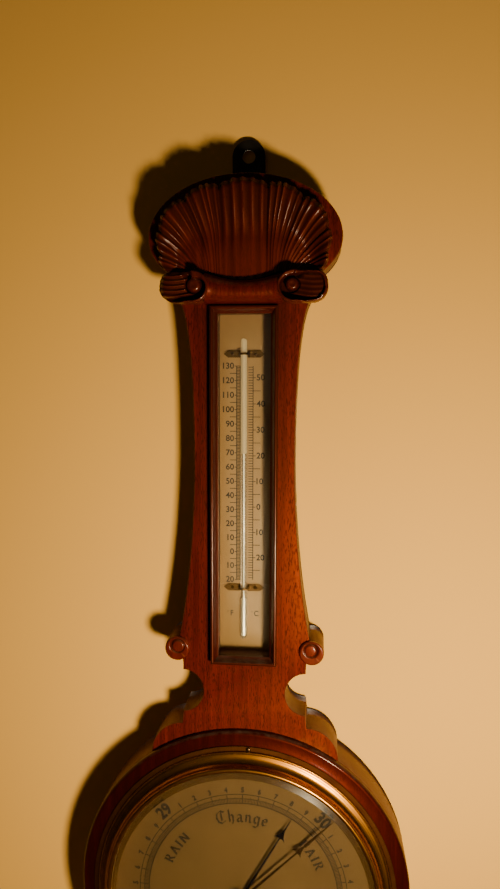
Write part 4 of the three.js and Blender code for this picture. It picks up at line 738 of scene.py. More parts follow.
def boardOutline():
    crest, scroll, neck = board["crest"], board["scroll"], board["neck"]
    ovolo, base, body = board["ovolo"], board["base"], board["roundRadius"]
    points = arcPoints(0, crest["centre"], crest["halfWidth"], crest["rise"], 90, 0, steps=56)
    points += arcPoints(0, crest["centre"], crest["halfWidth"], crest["fall"], 0, crest["lowAngle"], steps=18)[1:]
    points.append(board["trunkTop"])
    points += bezierPoints(board["trunkTop"], *board["topHandles"], board["waist"], steps=26)
    foot = arcPoints(
        scroll["x"], scroll["y"], scroll["radius"], scroll["radius"], scroll["start"], scroll["end"], steps=30,
    )
    points += bezierPoints(board["waist"], *board["footHandles"], foot[0], steps=30)
    points += foot[1:]
    points += [(neck["x"], neck["shoulder"]), (neck["x"], neck["top"])]
    middle, half = (neck["top"] + neck["bottom"]) / 2, (neck["top"] - neck["bottom"]) / 2
    points += arcPoints(neck["x"], middle, neck["notch"], half, 90, 270, steps=30)[1:]
    points.append((ovolo["x"], neck["foot"]))
    points += arcPoints(ovolo["x"], ovolo["y"], ovolo["run"], ovolo["rise"], 90, 0, steps=18)
    meet = math.degrees(math.atan2(ovolo["y"], ovolo["x"] + ovolo["run"]))
    points += arcPoints(0, 0, body, body, meet, -meet, steps=96)[1:]
    points += arcPoints(ovolo["x"], -ovolo["y"], ovolo["run"], ovolo["rise"], 0, -90, steps=18)[1:]
    points.append((neck["x"], -neck["bottom"]))
    coveBottom = -neck["bottom"] - base["coveHeight"]
    points += arcPoints(neck["x"], coveBottom, base["coveRun"], base["coveHeight"], 90, 180, steps=16)[1:]
    pendantTop = coveBottom - base["fillet"]
    points += [(neck["x"] - base["coveRun"], pendantTop), (base["pendant"], pendantTop)]
    points += arcPoints(0, pendantTop, base["pendant"], base["drop"], 0, -90, steps=26)[1:]
    mirrored = [(-x, y) for x, y in reversed(points[1:-1])]
    clean = []
    for point in points + mirrored:
        if not clean or math.dist(point, clean[-1]) > board["shortest"]:
            clean.append(point)
    return clean


def liesFlat(edge):
    return abs(edge.verts[0].co.z - edge.verts[1].co.z) < 0.01


def caseBoard():
    depth, recess, slot, clear = board["depth"], board["recess"], board["hangerSlot"], meshing["overrun"]
    bm = extrudeOutline(boardOutline(), -depth, 0)
    roundEdges(bm, board["edgeRound"], 3, minAngle=60, chosen=liesFlat)
    well = roundPlug(board["well"], -depth - clear, clear, board["wellSteps"])
    rebate = roundPlug(board["coverRebate"], -depth - clear, -depth + board["coverDepth"], board["wellSteps"])
    side, edge = recess["halfWidth"], recess["halfWidth"] + recess["ledge"]
    pocket = addBox(bmesh.new(), (-side, recess["low"], -recess["depth"]), (side, recess["high"], clear))
    ledge = addBox(
        bmesh.new(), (-edge, recess["low"] - recess["ledge"], -recess["ledgeDepth"]),
        (edge, recess["high"] + recess["ledge"], clear),
    )
    hangerSeat = addBox(
        bmesh.new(), (-slot["halfWidth"], slot["bottom"], -depth - clear),
        (slot["halfWidth"], slot["top"], -depth + slot["depth"]),
    )
    return cutAway(bm, [well, rebate, pocket, ledge, hangerSeat])


makePiece("caseBoard", caseBoard(), "case", mahogany, ["case_board"], 32)
print("stage: case board")


# Carved crest: a scallop shell over a waisted roll with a volute at each end

eye = {"x": 35.0, "y": 462.0}
roll = {
    "halfLength": 24.2, "bottom": 449.4, "rise": 17.1, "flare": 5.4, "flarePower": 2.2, "flareEnd": 1.15,
    "depth": 15.0, "foot": 0.3, "endRadius": 9.9, "longest": 28.0, "waist": 0.06, "endSwell": 0.05,
    "fullness": 0.72, "ripple": 0.035, "rippleWaves": (2.1, 1.7, 0.43), "columns": 96, "rows": 40,
}


def rollTop(x):
    reach = min(abs(x) / roll["halfLength"], roll["flareEnd"])
    return roll["bottom"] + roll["rise"] + roll["flare"] * reach ** roll["flarePower"]


shell = {
    "centre": 497.0, "halfWidth": 62.4, "rise": 38.6, "fall": 62.0, "lowSine": 0.42,
    # where each lobe ends along half the rim, with its number of ribs
    "lobes": [(0.0, 0), (0.164, 2.5), (0.42, 5), (0.703, 5), (0.858, 3), (1.0, 3)],
    # where the same place starts above the roll, and past rootBend at one level
    "roots": [(0.0, 0.0), (0.164, 16.0), (0.42, 26.0), (0.703, 33.0), (0.858, 37.5), (1.0, 42.0)],
    "rootGap": 0.3, "rootBend": 26.0, "rootLevel": 472.3,
    # heights, each with the stretch from root to rim over which it comes in
    "rootHeight": 4.2, "bowl": 1.0, "bowlSpan": (0, 0.45), "climb": 9.4, "climbSpan": (0.44, 1.0),
    "curl": 3.0, "curlSpan": (0.93, 1.0), "curlPower": 1.5, "fadeSpan": (0.15, 0.75),
    "crown": 2.6, "crownPower": 0.55, "crownAtRoot": 0.12, "inset": 3.4,
    "ribHeight": 1.35, "ribPower": 1.3, "ribLevel": 0.4, "ribAtRoot": 0.22, "ribReach": 0.6,
    "ribSpread": (0.7, 1.15), "ribWaver": (0.16, 11, 2.3), "sway": (0.35, 5.1, 9),
    "lobeNumbers": 7, "leftNumbers": 40,  # so that each rib has its own number
    "leanPower": 3.2, "leanMost": 85, "handle": 0.46,
    "ribShade": (0.1, 0.7), "seamShade": (0.15, 0.6), "stain": 0.3, "rimDarkSpan": (0.35, 0.85),
    "foot": 0.3, "columns": 460, "rows": 68,
}


def rimTable():
    low = math.degrees(math.asin(shell["lowSine"]))
    upper = arcPoints(0, shell["centre"], shell["halfWidth"], shell["rise"], 90, 0, steps=200)
    lower = arcPoints(0, shell["centre"], shell["halfWidth"], shell["fall"], 0, -low, steps=90)[1:]
    points = upper + lower
    lengths = [0.0]
    for a, b in zip(points, points[1:]):
        lengths.append(lengths[-1] + math.dist(a, b))
    return points, [length / lengths[-1] for length in lengths]


rimPoints, rimShares = rimTable()


def rimAt(share):
    i = max(1, min(bisect_left(rimShares, share), len(rimShares) - 1))
    t = (share - rimShares[i - 1]) / (rimShares[i] - rimShares[i - 1])
    return Vector([mix(rimPoints[i - 1][k], rimPoints[i][k], t) for k in (0, 1)])


def unevenness(index):  # the same odd amount between 0 and 1 for each rib
    return (math.sin(index * 12.9898 + 4.1) * 43758.5453) % 1


def lobeAt(share):  # place across the lobe, the rib's wave there and the rib's number
    size, along, shift = shell["ribWaver"]
    for number, ((start, _), (end, ribs)) in enumerate(zip(shell["lobes"], shell["lobes"][1:])):
        if share <= end:
            across = (share - start) / (end - start)
            if start == 0:  # the middle lobe spans both halves
                return 0.5 + across / 2, across * ribs + 0.5, int(across * ribs + 0.5)
            wave = across * ribs + size * math.sin(math.pi * across) * math.sin(along * across + shift * number)
            return across, wave, shell["lobeNumbers"] * number + int(wave)
    return 1.0, 0.0, 0


def shellSurface(side, v):  # side runs from -1 to 1 along the rim, v from the root to the rim
    share = abs(side)
    across, wave, number = lobeAt(share)
    crown = math.sin(math.pi * min(max(across, 0), 1)) ** shell["crownPower"]
    uneven = unevenness(number + (shell["leftNumbers"] if side < 0 else 0))
    rib = ((1 - math.cos(math.tau * wave)) / 2) ** shell["ribPower"] * mix(*shell["ribSpread"], uneven)
    rim = rimAt(share)
    rootX = readTable(shell["roots"], share)
    root = Vector((rootX, rollTop(rootX) + shell["rootGap"] if rootX < shell["rootBend"] else shell["rootLevel"]))
    rim = rim.lerp(root, shell["inset"] / max((rim - root).length, 1) * (1 - crown))
    rim += (rim - root).normalized() * shell["ribReach"] * rib
    lean = math.radians(shell["leanMost"] * share ** shell["leanPower"])
    handle = shell["handle"] * (rim - root).length
    middle = root + Vector((math.sin(lean), math.cos(lean))) * handle
    flat = root * (1 - v) ** 2 + middle * 2 * v * (1 - v) + rim * v * v
    size, along, shift = shell["sway"]
    flat.x += size * math.sin(along * v + shift * share) * math.sin(math.pi * v)
    # the bowl is nearly flat, then climbs steeply to a lip that rolls over
    rise = shell["rootHeight"] + shell["bowl"] * smoothStep(*shell["bowlSpan"], v)
    rise += shell["climb"] * smoothStep(*shell["climbSpan"], v)
    rise -= shell["curl"] * smoothStep(*shell["curlSpan"], v) ** shell["curlPower"]
    fade = smoothStep(*shell["fadeSpan"], v)
    rise -= shell["crown"] * (1 - crown) * mix(shell["crownAtRoot"], 1, fade)
    rise += shell["ribHeight"] * (rib - shell["ribLevel"]) * mix(shell["ribAtRoot"], 1, fade)
    hollow = (1 - min(rib, 1)) * mix(*shell["ribShade"], fade) + (1 - crown) * mix(*shell["seamShade"], fade)
    # darker towards the rim
    stain = shell["stain"] * smoothStep(*shell["rimDarkSpan"], v)
    return flat.x * (1 if side >= 0 else -1), flat.y, rise, min(hollow + stain, 1)


def reliefGrid(columns, rows, surface):  # surface(u, v) gives x, y, z and how dark the hollow is painted, with polish and painted shade
    bm = bmesh.new()
    bmesh.ops.create_grid(bm, x_segments=columns, y_segments=rows, size=0.5)
    depth = bm.verts.layers.float.new("hollowPolishAndShade")
    for vert in bm.verts:
        x, y, z, hollow = surface(vert.co.x + 0.5, vert.co.y + 0.5)
        vert.co = (x, y, z)
        vert[depth] = hollow
    bmesh.ops.remove_doubles(bm, verts=bm.verts[:], dist=meshing["gridWeld"])
    return bm


def carvedShell():
    relief = reliefGrid(shell["columns"], shell["rows"], lambda u, v: shellSurface(2 * u - 1, v))
    return closeBack(relief, shell["foot"])


def crestRoll():
    wave, bend, slow = roll["rippleWaves"]

    def surface(u, v):
        side = 2 * u - 1
        x = side * roll["halfLength"]
        radius = (rollTop(x) - roll["bottom"]) / 2
        turn = math.pi * v
        y = roll["bottom"] + radius - radius * math.cos(turn)
        beside = math.sqrt(max(roll["endRadius"] ** 2 - (y - eye["y"]) ** 2, 0))
        reach = min(eye["x"] - beside, roll["longest"])
        flow = mix(1, reach / roll["halfLength"], side ** 2)
        belly = 1 - roll["waist"] * (1 - side ** 2) + roll["endSwell"] * smoothStep(0.8, 1, abs(side))
        z = roll["foot"] + (roll["depth"] - roll["foot"]) * belly * math.sin(turn) ** roll["fullness"]
        toolMark = roll["ripple"] * math.sin(x * wave + bend * math.sin(x * slow)) * math.sin(turn)
        return x * flow, y, z + toolMark, 0.0

    bm = reliefGrid(roll["columns"], roll["rows"], surface)
    bmesh.ops.holes_fill(bm, edges=[e for e in bm.edges if e.is_boundary], sides=0)
    return bm


volute = {
    # outline round the eye: angle in degrees from straight outwards, distance in mm
    "outline": [
        (-180, 10.6), (-150, 11.2), (-120, 11.9), (-90, 12.5), (-70, 13.3), (-45, 17.3), (-25, 23.2),
        (-10, 25.4), (0, 25.2), (12, 24.6), (22, 22.6), (32, 17.6), (45, 13.4), (60, 11.0), (90, 9.8),
        (120, 9.7), (150, 10.0), (180, 10.6),
    ],
    "eyeTop": 14.9, "eyePower": 0.45, "eyeDimple": 1.0, "dimpleShare": 0.75, "eyeShade": 0.15, "shadeShare": 0.85,
    "channel": 6.8, "channelShade": 0.95,
    # the fold that parts the lobe from the channel: height at x = -1, fall and run, and its lift past liftFrom
    "fold": {"y": -6.7, "fall": 3.3, "run": 19.5, "lift": 0.014, "liftFrom": 10},
    "lobe": {"swell": 1.6, "swellPower": 1.5, "lip": 2.2, "lipFrom": 0.86, "shade": 0.7},
    # over which distances the lobe comes in: across the fold, outwards, past the eye, and its upper inner corner
    "comesIn": {"fold": 0.5, "out": (-2.5, 3.5), "slant": 0.3, "slantBelow": 2, "eye": (-0.3, 1.1),
                "cornerUp": (2.5, 7.5), "cornerOut": (3.0, 9.0)},
    "ribSpacing": 3.5, "ribStart": 0.9, "ribPower": 1.4,
    "rimTop": 15.9, "rimFall": 0.8, "rimRun": 0.9, "rimSlope": 0.25, "rimSide": (1.0, -0.2),
    "rimLow": (-25, -62), "rimHigh": (52, 84),
    "around": 200, "along": 48, "foot": 0.3,
    # the left one runs out into ribs, the right one into a hollow painted dark as shade, with a rim all round
    "left": {"eye": 5.7, "lobe": 12.6, "ribHeight": 1.3, "shade": 0.05, "rimRound": 0.0, "rimWidths": [
        (-180, 2.0), (-90, 1.7), (-60, 1.4), (60, 5.0), (100, 4.4), (140, 2.8), (180, 2.0)]},
    "right": {"eye": 4.9, "lobe": 9.6, "ribHeight": 0.4, "shade": 0.75, "rimRound": 0.75, "rimWidths": [
        (-180, 1.9), (-90, 1.6), (-45, 1.5), (0, 2.2), (45, 1.6), (90, 3.0), (140, 2.4), (180, 1.9)]},
}


def voluteRadius(degrees):  # a smooth curve through the outline's points
    table = volute["outline"]
    turn = (degrees + 180) % 360 - 180
    i = next(k for k in range(len(table) - 1) if turn <= table[k + 1][0])
    a, b, c, d = [table[(i + k - 1) % (len(table) - 1)][1] for k in range(4)]
    t = (turn - table[i][0]) / (table[i + 1][0] - table[i][0])
    return 0.5 * (2 * b + (c - a) * t + (2 * a - 5 * b + 4 * c - d) * t * t + (3 * b - a - 3 * c + d) * t ** 3)


def voluteSurface(u, v, form):  # u round the eye, v out to the rim; x here points outwards
    fold, lobe, near = volute["fold"], volute["lobe"], volute["comesIn"]
    degrees = 360 * u - 180
    radius = voluteRadius(degrees)
    r = radius * v
    x, y = roundSpot(r, degrees)
    height, hollow = volute["channel"], volute["channelShade"]
    if r < form["eye"]:
        dome = math.sqrt(max(0, 1 - (r / form["eye"]) ** 2)) ** volute["eyePower"]
        height = mix(height, volute["eyeTop"], dome)
        height -= volute["eyeDimple"] * smoothStep(form["eye"] * volute["dimpleShare"], 0, r)
        hollow = volute["eyeShade"] if r < form["eye"] * volute["shadeShare"] else volute["channelShade"]
    foldY = fold["y"] - fold["fall"] * (x + 1) / fold["run"] + fold["lift"] * max(x - fold["liftFrom"], 0) ** 2
    slanted = x + near["slant"] * max(-y - near["slantBelow"], 0)
    inside = smoothStep(-near["fold"], near["fold"], y - foldY) * smoothStep(*near["out"], slanted)
    inside *= smoothStep(form["eye"] + near["eye"][0], form["eye"] + near["eye"][1], r)
    inside *= 1 - smoothStep(*near["cornerUp"], y) * (1 - smoothStep(*near["cornerOut"], x))
    wave = math.cos(math.tau * (y - foldY - volute["ribStart"]) / volute["ribSpacing"])
    ribs = ((1 + wave) / 2) ** volute["ribPower"]
    swell = form["lobe"] + lobe["swell"] * math.sin(math.pi * min(v, 1) ** lobe["swellPower"])
    swell -= lobe["lip"] * smoothStep(lobe["lipFrom"], 1, v)
    height = mix(height, swell + form["ribHeight"] * (ribs - 0.5), inside)
    hollow = mix(hollow, form["shade"] + lobe["shade"] * (1 - ribs) * min(form["ribHeight"], 1), inside)
    around = smoothStep(*volute["rimLow" if degrees < 0 else "rimHigh"], degrees)
    width = readTable(form["rimWidths"], degrees)
    outer, inner = volute["rimSide"]
    rimMask = smoothStep(width + outer, width + inner, radius - r) * max(around, form["rimRound"])
    fall = max(0, 1 - (radius - r) / volute["rimRun"]) ** 2
    rimHeight = volute["rimTop"] - volute["rimFall"] * fall - volute["rimSlope"] * max(radius - r - 1, 0)
    return x, y, mix(height, rimHeight, rimMask), mix(hollow, 0.0, rimMask)


def crestVolute(side):
    def surface(u, v):
        x, y, z, hollow = voluteSurface(u, v, volute["left" if side < 0 else "right"])
        return side * (eye["x"] + x), eye["y"] + y, z, hollow

    return closeBack(reliefGrid(volute["around"], volute["along"], surface), volute["foot"])


makePiece("carvedShell", carvedShell(), "case", carvedMahogany, ["shell_crest"], 60)
makePiece("crestRoll", crestRoll(), "case", rollMahogany, ["crest_roll"], 50)
makePiece("voluteLeft", crestVolute(-1), "case", shadedVoluteMahogany, ["crest_volute_left"], 60)
makePiece("voluteRight", crestVolute(1), "case", shadedVoluteMahogany, ["crest_volute_right"], 60)
print("stage: carved crest")


# Shoulder scrolls: a round groove, uneven in width and depth, about a boss

shoulder = {
    "radius": 9.2, "face": 2.9, "eyeX": -0.6, "eyeY": 2.1, "eye": 4.3, "eyeDish": 0.25, "step": 0.3,
    "groove": 5.0, "grooveWidth": 0.7, "grooveDepth": 1.5, "widthChange": 0.35, "widestAt": 0.6,
    "depthChange": 0.25, "deepestAt": 0.4, "lip": 0.9, "lipFrom": 0.88, "lipPower": 1.6, "shade": 0.9,
    "foot": 0.3, "around": 120, "along": 48,
}


def shoulderScroll(side):
    middle = board["scroll"]

    def surface(u, v):
        angle = math.tau * u
        x, y = shoulder["radius"] * v * math.cos(angle), shoulder["radius"] * v * math.sin(angle)
        r = math.hypot(x - shoulder["eyeX"], y - shoulder["eyeY"])
        turn = math.atan2(y - shoulder["eyeY"], x - shoulder["eyeX"])
        width = shoulder["grooveWidth"] * (1 + shoulder["widthChange"] * math.cos(turn - shoulder["widestAt"]))
        change = shoulder["depthChange"]
        cut = math.exp(-((r - shoulder["groove"]) / width) ** 2)
        cut *= 1 - change + change * math.cos(turn - shoulder["deepestAt"])
        z = shoulder["foot"] + shoulder["face"] - shoulder["grooveDepth"] * cut
        z -= shoulder["eyeDish"] * (r / shoulder["eye"]) ** 2 if r < shoulder["groove"] else shoulder["step"]
        z -= shoulder["lip"] * smoothStep(shoulder["lipFrom"], 1.0, v) ** shoulder["lipPower"]
        return side * (middle["x"] + x), middle["y"] + y, z, shoulder["shade"] * cut

    return closeBack(reliefGrid(shoulder["around"], shoulder["along"], surface), shoulder["foot"])


for side, word in ((-1, "left"), (1, "right")):
    makePiece(
        f"shoulderScroll{word.capitalize()}", shoulderScroll(side), "case", carvedMahogany,
        [f"shoulder_scroll_{word}"], 50,
    )
print("stage: shoulder scrolls")


# Hanging plate

hanger = {
    "halfWidth": 12.5, "hole": 5.0, "holeHeight": 563.0, "bottom": 515.0, "thickness": 2.4, "edgeRound": 0.35,
    "screws": (534, 521), "screwHole": 1.8, "sinkRadius": 3.2, "sinkDepth": 1.4,
    "overrun": 1.0, "overrunOut": 0.4,  # how far the cutters stand clear, and how much a sink widens there
}


def hangingPlate():
    back, clear = -board["depth"], hanger["overrun"]
    front = back + hanger["thickness"]
    outline = [(hanger["halfWidth"], hanger["bottom"])]
    outline += arcPoints(0, hanger["holeHeight"], hanger["halfWidth"], hanger["halfWidth"], 0, 180, steps=48)
    outline.append((-hanger["halfWidth"], hanger["bottom"]))
    bm = extrudeOutline(outline, back, front)
    holes = [roundPlug(hanger["hole"], back - clear, front + clear, 40, y=hanger["holeHeight"])]
    for screw in hanger["screws"]:
        holes.append(roundPlug(hanger["screwHole"], back - clear, front + clear, 40, y=screw))
    for screw in hanger["screws"]:
        sinkRadius, sinkEnd = hanger["sinkRadius"], back + hanger["sinkDepth"]
        sink = spinProfile([
            (0, back - clear), (sinkRadius + hanger["overrunOut"], back - clear), (sinkRadius, back),
            (hanger["screwHole"], sinkEnd), (0, sinkEnd),
        ], 40, False)
        bmesh.ops.translate(sink, vec=(0, screw, 0), verts=sink.verts[:])
        holes.append(sink)
    return roundEdges(cutAway(bm, holes), hanger["edgeRound"], 2, minAngle=50)


makePiece("hangingPlate", hangingPlate(), "case", blackIron, ["hanging_plate"], 30)


# Screws

screws = {
    "back": {"head": 2.9, "height": 0.9, "shank": 1.5, "bite": 10.8, "slot": 0.7, "dome": 0.05},
    "bezel": {"head": 1.8, "height": 0.7, "shank": 0.8, "bite": 6.0, "slot": 0.5, "dome": 0.5},
    "rimShare": 0.35, "slotShare": 0.55, "steps": 32,  # where the dome and the slot start, as shares of the height
    "backHeight": -board["depth"] + 1.1, "bezelHeight": 7.9, "bezelRadius": 115.5, "bezelSetover": -2.1,
    "coverRadius": 95.1,
}


def slottedScrew(head, height, shank, bite, slot, dome):
    rim, top, slotFoot = height * screws["rimShare"], height + dome, height * screws["slotShare"]
    profile = [(0, -bite), (shank / 2, -bite), (shank, -bite + shank), (shank, 0), (head, 0), (head, rim)]
    profile += arcPoints(0, rim, head, top - rim, 15, 75, steps=4)
    profile.append((0, top))
    blank = spinProfile(profile, screws["steps"], False)
    return cutAway(blank, [addBox(bmesh.new(), (-head - 1, -slot / 2, slotFoot), (head + 1, slot / 2, top + 1))])


def placeScrew(name, node, position, material, turn, form, flip=False):
    bm = slottedScrew(**form)
    place = Matrix.Translation(position) @ (Matrix.Rotation(math.pi, 4, "Y") if flip else Matrix())
    bm.transform(place @ Matrix.Rotation(turn, 4, "Z"))
    makePiece(name, bm, "case", material, [node], 35)


for index, height in enumerate(hanger["screws"]):
    placeScrew(
        f"hangerScrew{index + 1}", f"hanging_plate_screw_{index + 1}", (0, height, screws["backHeight"]),
        steel, 0.5 + index, screws["back"], True,
    )
for index in range(3):
    degrees = 90 + 120 * index
    placeScrew(
        f"bezelScrew{index + 1}", f"bezel_screw_{index + 1}",
        (*roundSpot(screws["bezelRadius"], degrees + screws["bezelSetover"]), screws["bezelHeight"]),
        darkBronze, 0.4 + index, screws["bezel"],
    )
    placeScrew(
        f"coverScrew{index + 1}", f"back_cover_screw_{index + 1}",
        (*roundSpot(screws["coverRadius"], degrees), screws["backHeight"]),
        steel, 0.9 + index, screws["back"], True,
    )
print("stage: hanging plate and screws")


# Dial ring, bezel, glass and dial plate

dial = {
    "ringFoot": 0.3, "ringTop": 6.4, "ringSide": 2.6, "ringEdge": 0.3, "arris": 3.1, "arrisDrop": 0.15,
    "ringInner": 96.0, "ringRadius": 128.0, "seat": 118.2, "seatRound": (0.4, 0.2), "ringSteps": 224,
    "plateBack": 6.7, "plateFront": 8.0, "plateRadius": 108.0, "plateEdge": 0.2, "plateHole": 3, "plateSteps": 192,
}
bezel = {
    "radius": 117.6, "flangeBack": 6.7, "flangeTop": 7.6, "edge": 0.2, "round": 0.25,
    "ridge": 113.4, "ridgeTop": 9.1, "ridgeRadius": 0.65, "ridgeFoot": 0.75, "ridgeSide": 0.5, "ridgeIn": 0.25,
    "sheet": 0.9, "cove": 6.8, "bead": 103.6, "beadRadius": 2.0, "beadHeight": 15.9, "wall": 104.3,
    "steps": 288, "flangeFrom": 0.6,
}
dialPane = {
    "back": 14.7, "front": 17.7, "radius": 104.0, "hole": 1.7, "sight": 101.6, "lip": 0.9, "setback": 0.3,
    "bevel": 4.0, "bevelEdge": (0.1, 0.05), "bevelFrom": 1.2, "steps": 224,
}


def dialRing():
    top, outer, edge = dial["ringTop"], dial["ringRadius"], dial["ringEdge"]
    inner, foot, side, arris = dial["ringInner"], dial["ringFoot"], dial["ringSide"], dial["arris"]
    across, down = dial["seatRound"]
    profile = [(inner, foot), (outer - edge, foot), (outer, foot + edge), (outer, side)]
    profile += arcPoints(outer - arris, side, arris, arris - dial["arrisDrop"], 0, 90, steps=10)[1:]
    profile += [(dial["seat"] + across, top - down), (dial["seat"], top), (inner, top)]
    return spinProfile(profile, dial["ringSteps"])


def bezelProfile():
    outer, ridge, bead = bezel["radius"], bezel["ridge"], bezel["bead"]
    low, flange, high = bezel["flangeBack"], bezel["flangeTop"], bezel["beadHeight"]
    edge, curve, tip = bezel["edge"], bezel["round"], bezel["ridgeRadius"]
    cove = ridge - bezel["sheet"]
    run = cove - bead - bezel["beadRadius"]
    points = [(cove, low), (outer - edge, low), (outer, low + edge), (outer, flange - curve)]
    points += [(outer - curve, flange), (ridge + bezel["ridgeFoot"], flange)]
    points.append((ridge + bezel["ridgeSide"], flange + curve))
    points += arcPoints(ridge - bezel["ridgeIn"], bezel["ridgeTop"] - tip, tip, tip, 20, 160, steps=8)
    points += arcPoints(cove, high, -run, -bezel["cove"], 84, 7, steps=11)
    points += arcPoints(bead, high, bezel["beadRadius"], bezel["beadRadius"], 10, 176, steps=14)
    points += [(bezel["wall"], high - 0.05), (bezel["wall"], dialPane["back"])]
    run, deep = run + bezel["sheet"], bezel["cove"] + bezel["sheet"]
    points += arcPoints(cove, high, -run, -deep, 15, 85, steps=7)
    return points


makePiece("dialRing", dialRing(), "case", ringMahogany, ["dial_ring"], 35)
bezelPiece = makePiece(
    "bezel", spinProfile(bezelProfile(), bezel["steps"]), "case", lacqueredBrass, ["bezel"], 40,
)
secondFinish(bezelPiece, flangeBrass, lambda spot: spot.xy.length > bezel["ridge"] + bezel["flangeFrom"])


def dialGlass():
    back, front, radius, hole = dialPane["back"], dialPane["front"], dialPane["radius"], dialPane["hole"]
    lip, step = back + dialPane["lip"], dialPane["sight"] - dialPane["setback"]
    across, down = dialPane["bevelEdge"]
    return spinProfile([
        (hole, back), (radius, back), (radius, lip), (step, lip), (step - dialPane["bevel"], front - down),
        (step - across - dialPane["bevel"], front), (hole, front),
    ], dialPane["steps"])


def onBevel(spot):
    inside = dialPane["sight"] - dialPane["bevel"] < spot.xy.length < dialPane["sight"]
    return inside and spot.z > dialPane["back"] + dialPane["bevelFrom"]


dialGlassPiece = makePiece("dialGlass", dialGlass(), "case", dialCoverGlass, ["dial_glass"], 5)
secondFinish(dialGlassPiece, shadedBevelGlass, onBevel)


def dialPlate():
    low, high, radius, edge = dial["plateBack"], dial["plateFront"], dial["plateRadius"], dial["plateEdge"]
    return spinProfile([
        (dial["plateHole"], low), (radius - edge, low), (radius, low + edge), (radius, high - edge),
        (radius - edge, high), (dial["plateHole"], high),
    ], dial["plateSteps"])


makePiece("dialPlate", dialPlate(), "case", dialEnamel, ["dial_plate"], 40)
print("stage: dial ring, bezel, glass and plate")


# Printing on the dial and the thermometer plate

printing = {"height": 0.05, "figureSize": 1.36, "figureSteps": 3, "ringSteps": 240}

# Pen strokes of each letter in a box one unit high, with the letter's advance
serifs = {
    "R": (0.8, [[(0.08, 0), (0.08, 1)], [(0.08, 1), (0.4, 1), (0.54, 0.88), (0.54, 0.66), (0.4, 0.53), (0.08, 0.53)],
                [(0.32, 0.53), (0.66, 0)], [(-0.04, 0), (0.2, 0)], [(-0.04, 1), (0.1, 1)], [(0.58, 0), (0.78, 0)]]),
    "A": (0.86, [[(0.08, 0), (0.42, 1)], [(0.42, 1), (0.76, 0)], [(0.2, 0.34), (0.64, 0.34)], [(-0.04, 0), (0.2, 0)],
                 [(0.64, 0), (0.9, 0)]]),
    "I": (0.36, [[(0.14, 0), (0.14, 1)], [(0.0, 0), (0.28, 0)], [(0.0, 1), (0.28, 1)]]),
    "N": (0.9, [[(0.1, 0), (0.1, 1)], [(0.1, 1), (0.72, 0)], [(0.72, 0), (0.72, 1)], [(-0.02, 0), (0.22, 0)],
                [(-0.04, 1), (0.1, 1)], [(0.6, 1), (0.84, 1)]]),
    "F": (0.7, [[(0.1, 0), (0.1, 1)], [(0.1, 1), (0.58, 1), (0.58, 0.8)], [(0.1, 0.53), (0.42, 0.53), (0.42, 0.62)],
                [(0.42, 0.53), (0.42, 0.43)], [(-0.02, 0), (0.24, 0)], [(-0.02, 1), (0.12, 1)]]),
    "S": (0.66, [[(0.5, 0.76), (0.44, 0.94), (0.26, 1), (0.08, 0.9), (0.06, 0.7), (0.24, 0.56), (0.42, 0.45),
                  (0.52, 0.28), (0.46, 0.08), (0.26, 0), (0.08, 0.06), (0.03, 0.26)]]),
    "T": (0.76, [[(0.36, 0), (0.36, 1)], [(0.02, 0.8), (0.02, 1), (0.7, 1), (0.7, 0.8)], [(0.24, 0), (0.48, 0)]]),
    "O": (0.86, [arcPoints(0.4, 0.5, 0.36, 0.5, 0, 360, 20)]),
    "M": (1.06, [[(0.1, 0), (0.12, 1)], [(0.12, 1), (0.48, 0.06)], [(0.48, 0.06), (0.84, 1)], [(0.84, 1), (0.86, 0)],
                 [(0, 0), (0.22, 0)], [(0.74, 0), (0.98, 0)], [(0.02, 1), (0.12, 1)], [(0.84, 1), (0.94, 1)]]),
    "Y": (0.8, [[(0.38, 0), (0.38, 0.46)], [(0.38, 0.46), (0.06, 1)], [(0.38, 0.46), (0.7, 1)], [(0.26, 0), (0.5, 0)],
                [(-0.04, 1), (0.18, 1)], [(0.58, 1), (0.8, 1)]]),
    "V": (0.8, [[(0.08, 1), (0.4, 0)], [(0.4, 0), (0.72, 1)], [(-0.04, 1), (0.2, 1)], [(0.6, 1), (0.84, 1)]]),
    "E": (0.72, [[(0.1, 0), (0.1, 1)], [(0.1, 1), (0.56, 1), (0.56, 0.82)], [(0.1, 0.53), (0.42, 0.53)],
                 [(0.1, 0), (0.6, 0), (0.6, 0.2)], [(-0.02, 1), (0.1, 1)], [(-0.02, 0), (0.1, 0)]]),
    "D": (0.84, [[(0.1, 0), (0.1, 1)],
                 [(0.1, 1), (0.4, 1), (0.64, 0.84), (0.72, 0.5), (0.64, 0.16), (0.4, 0), (0.1, 0)]]),
    " ": (0.6, []),
}
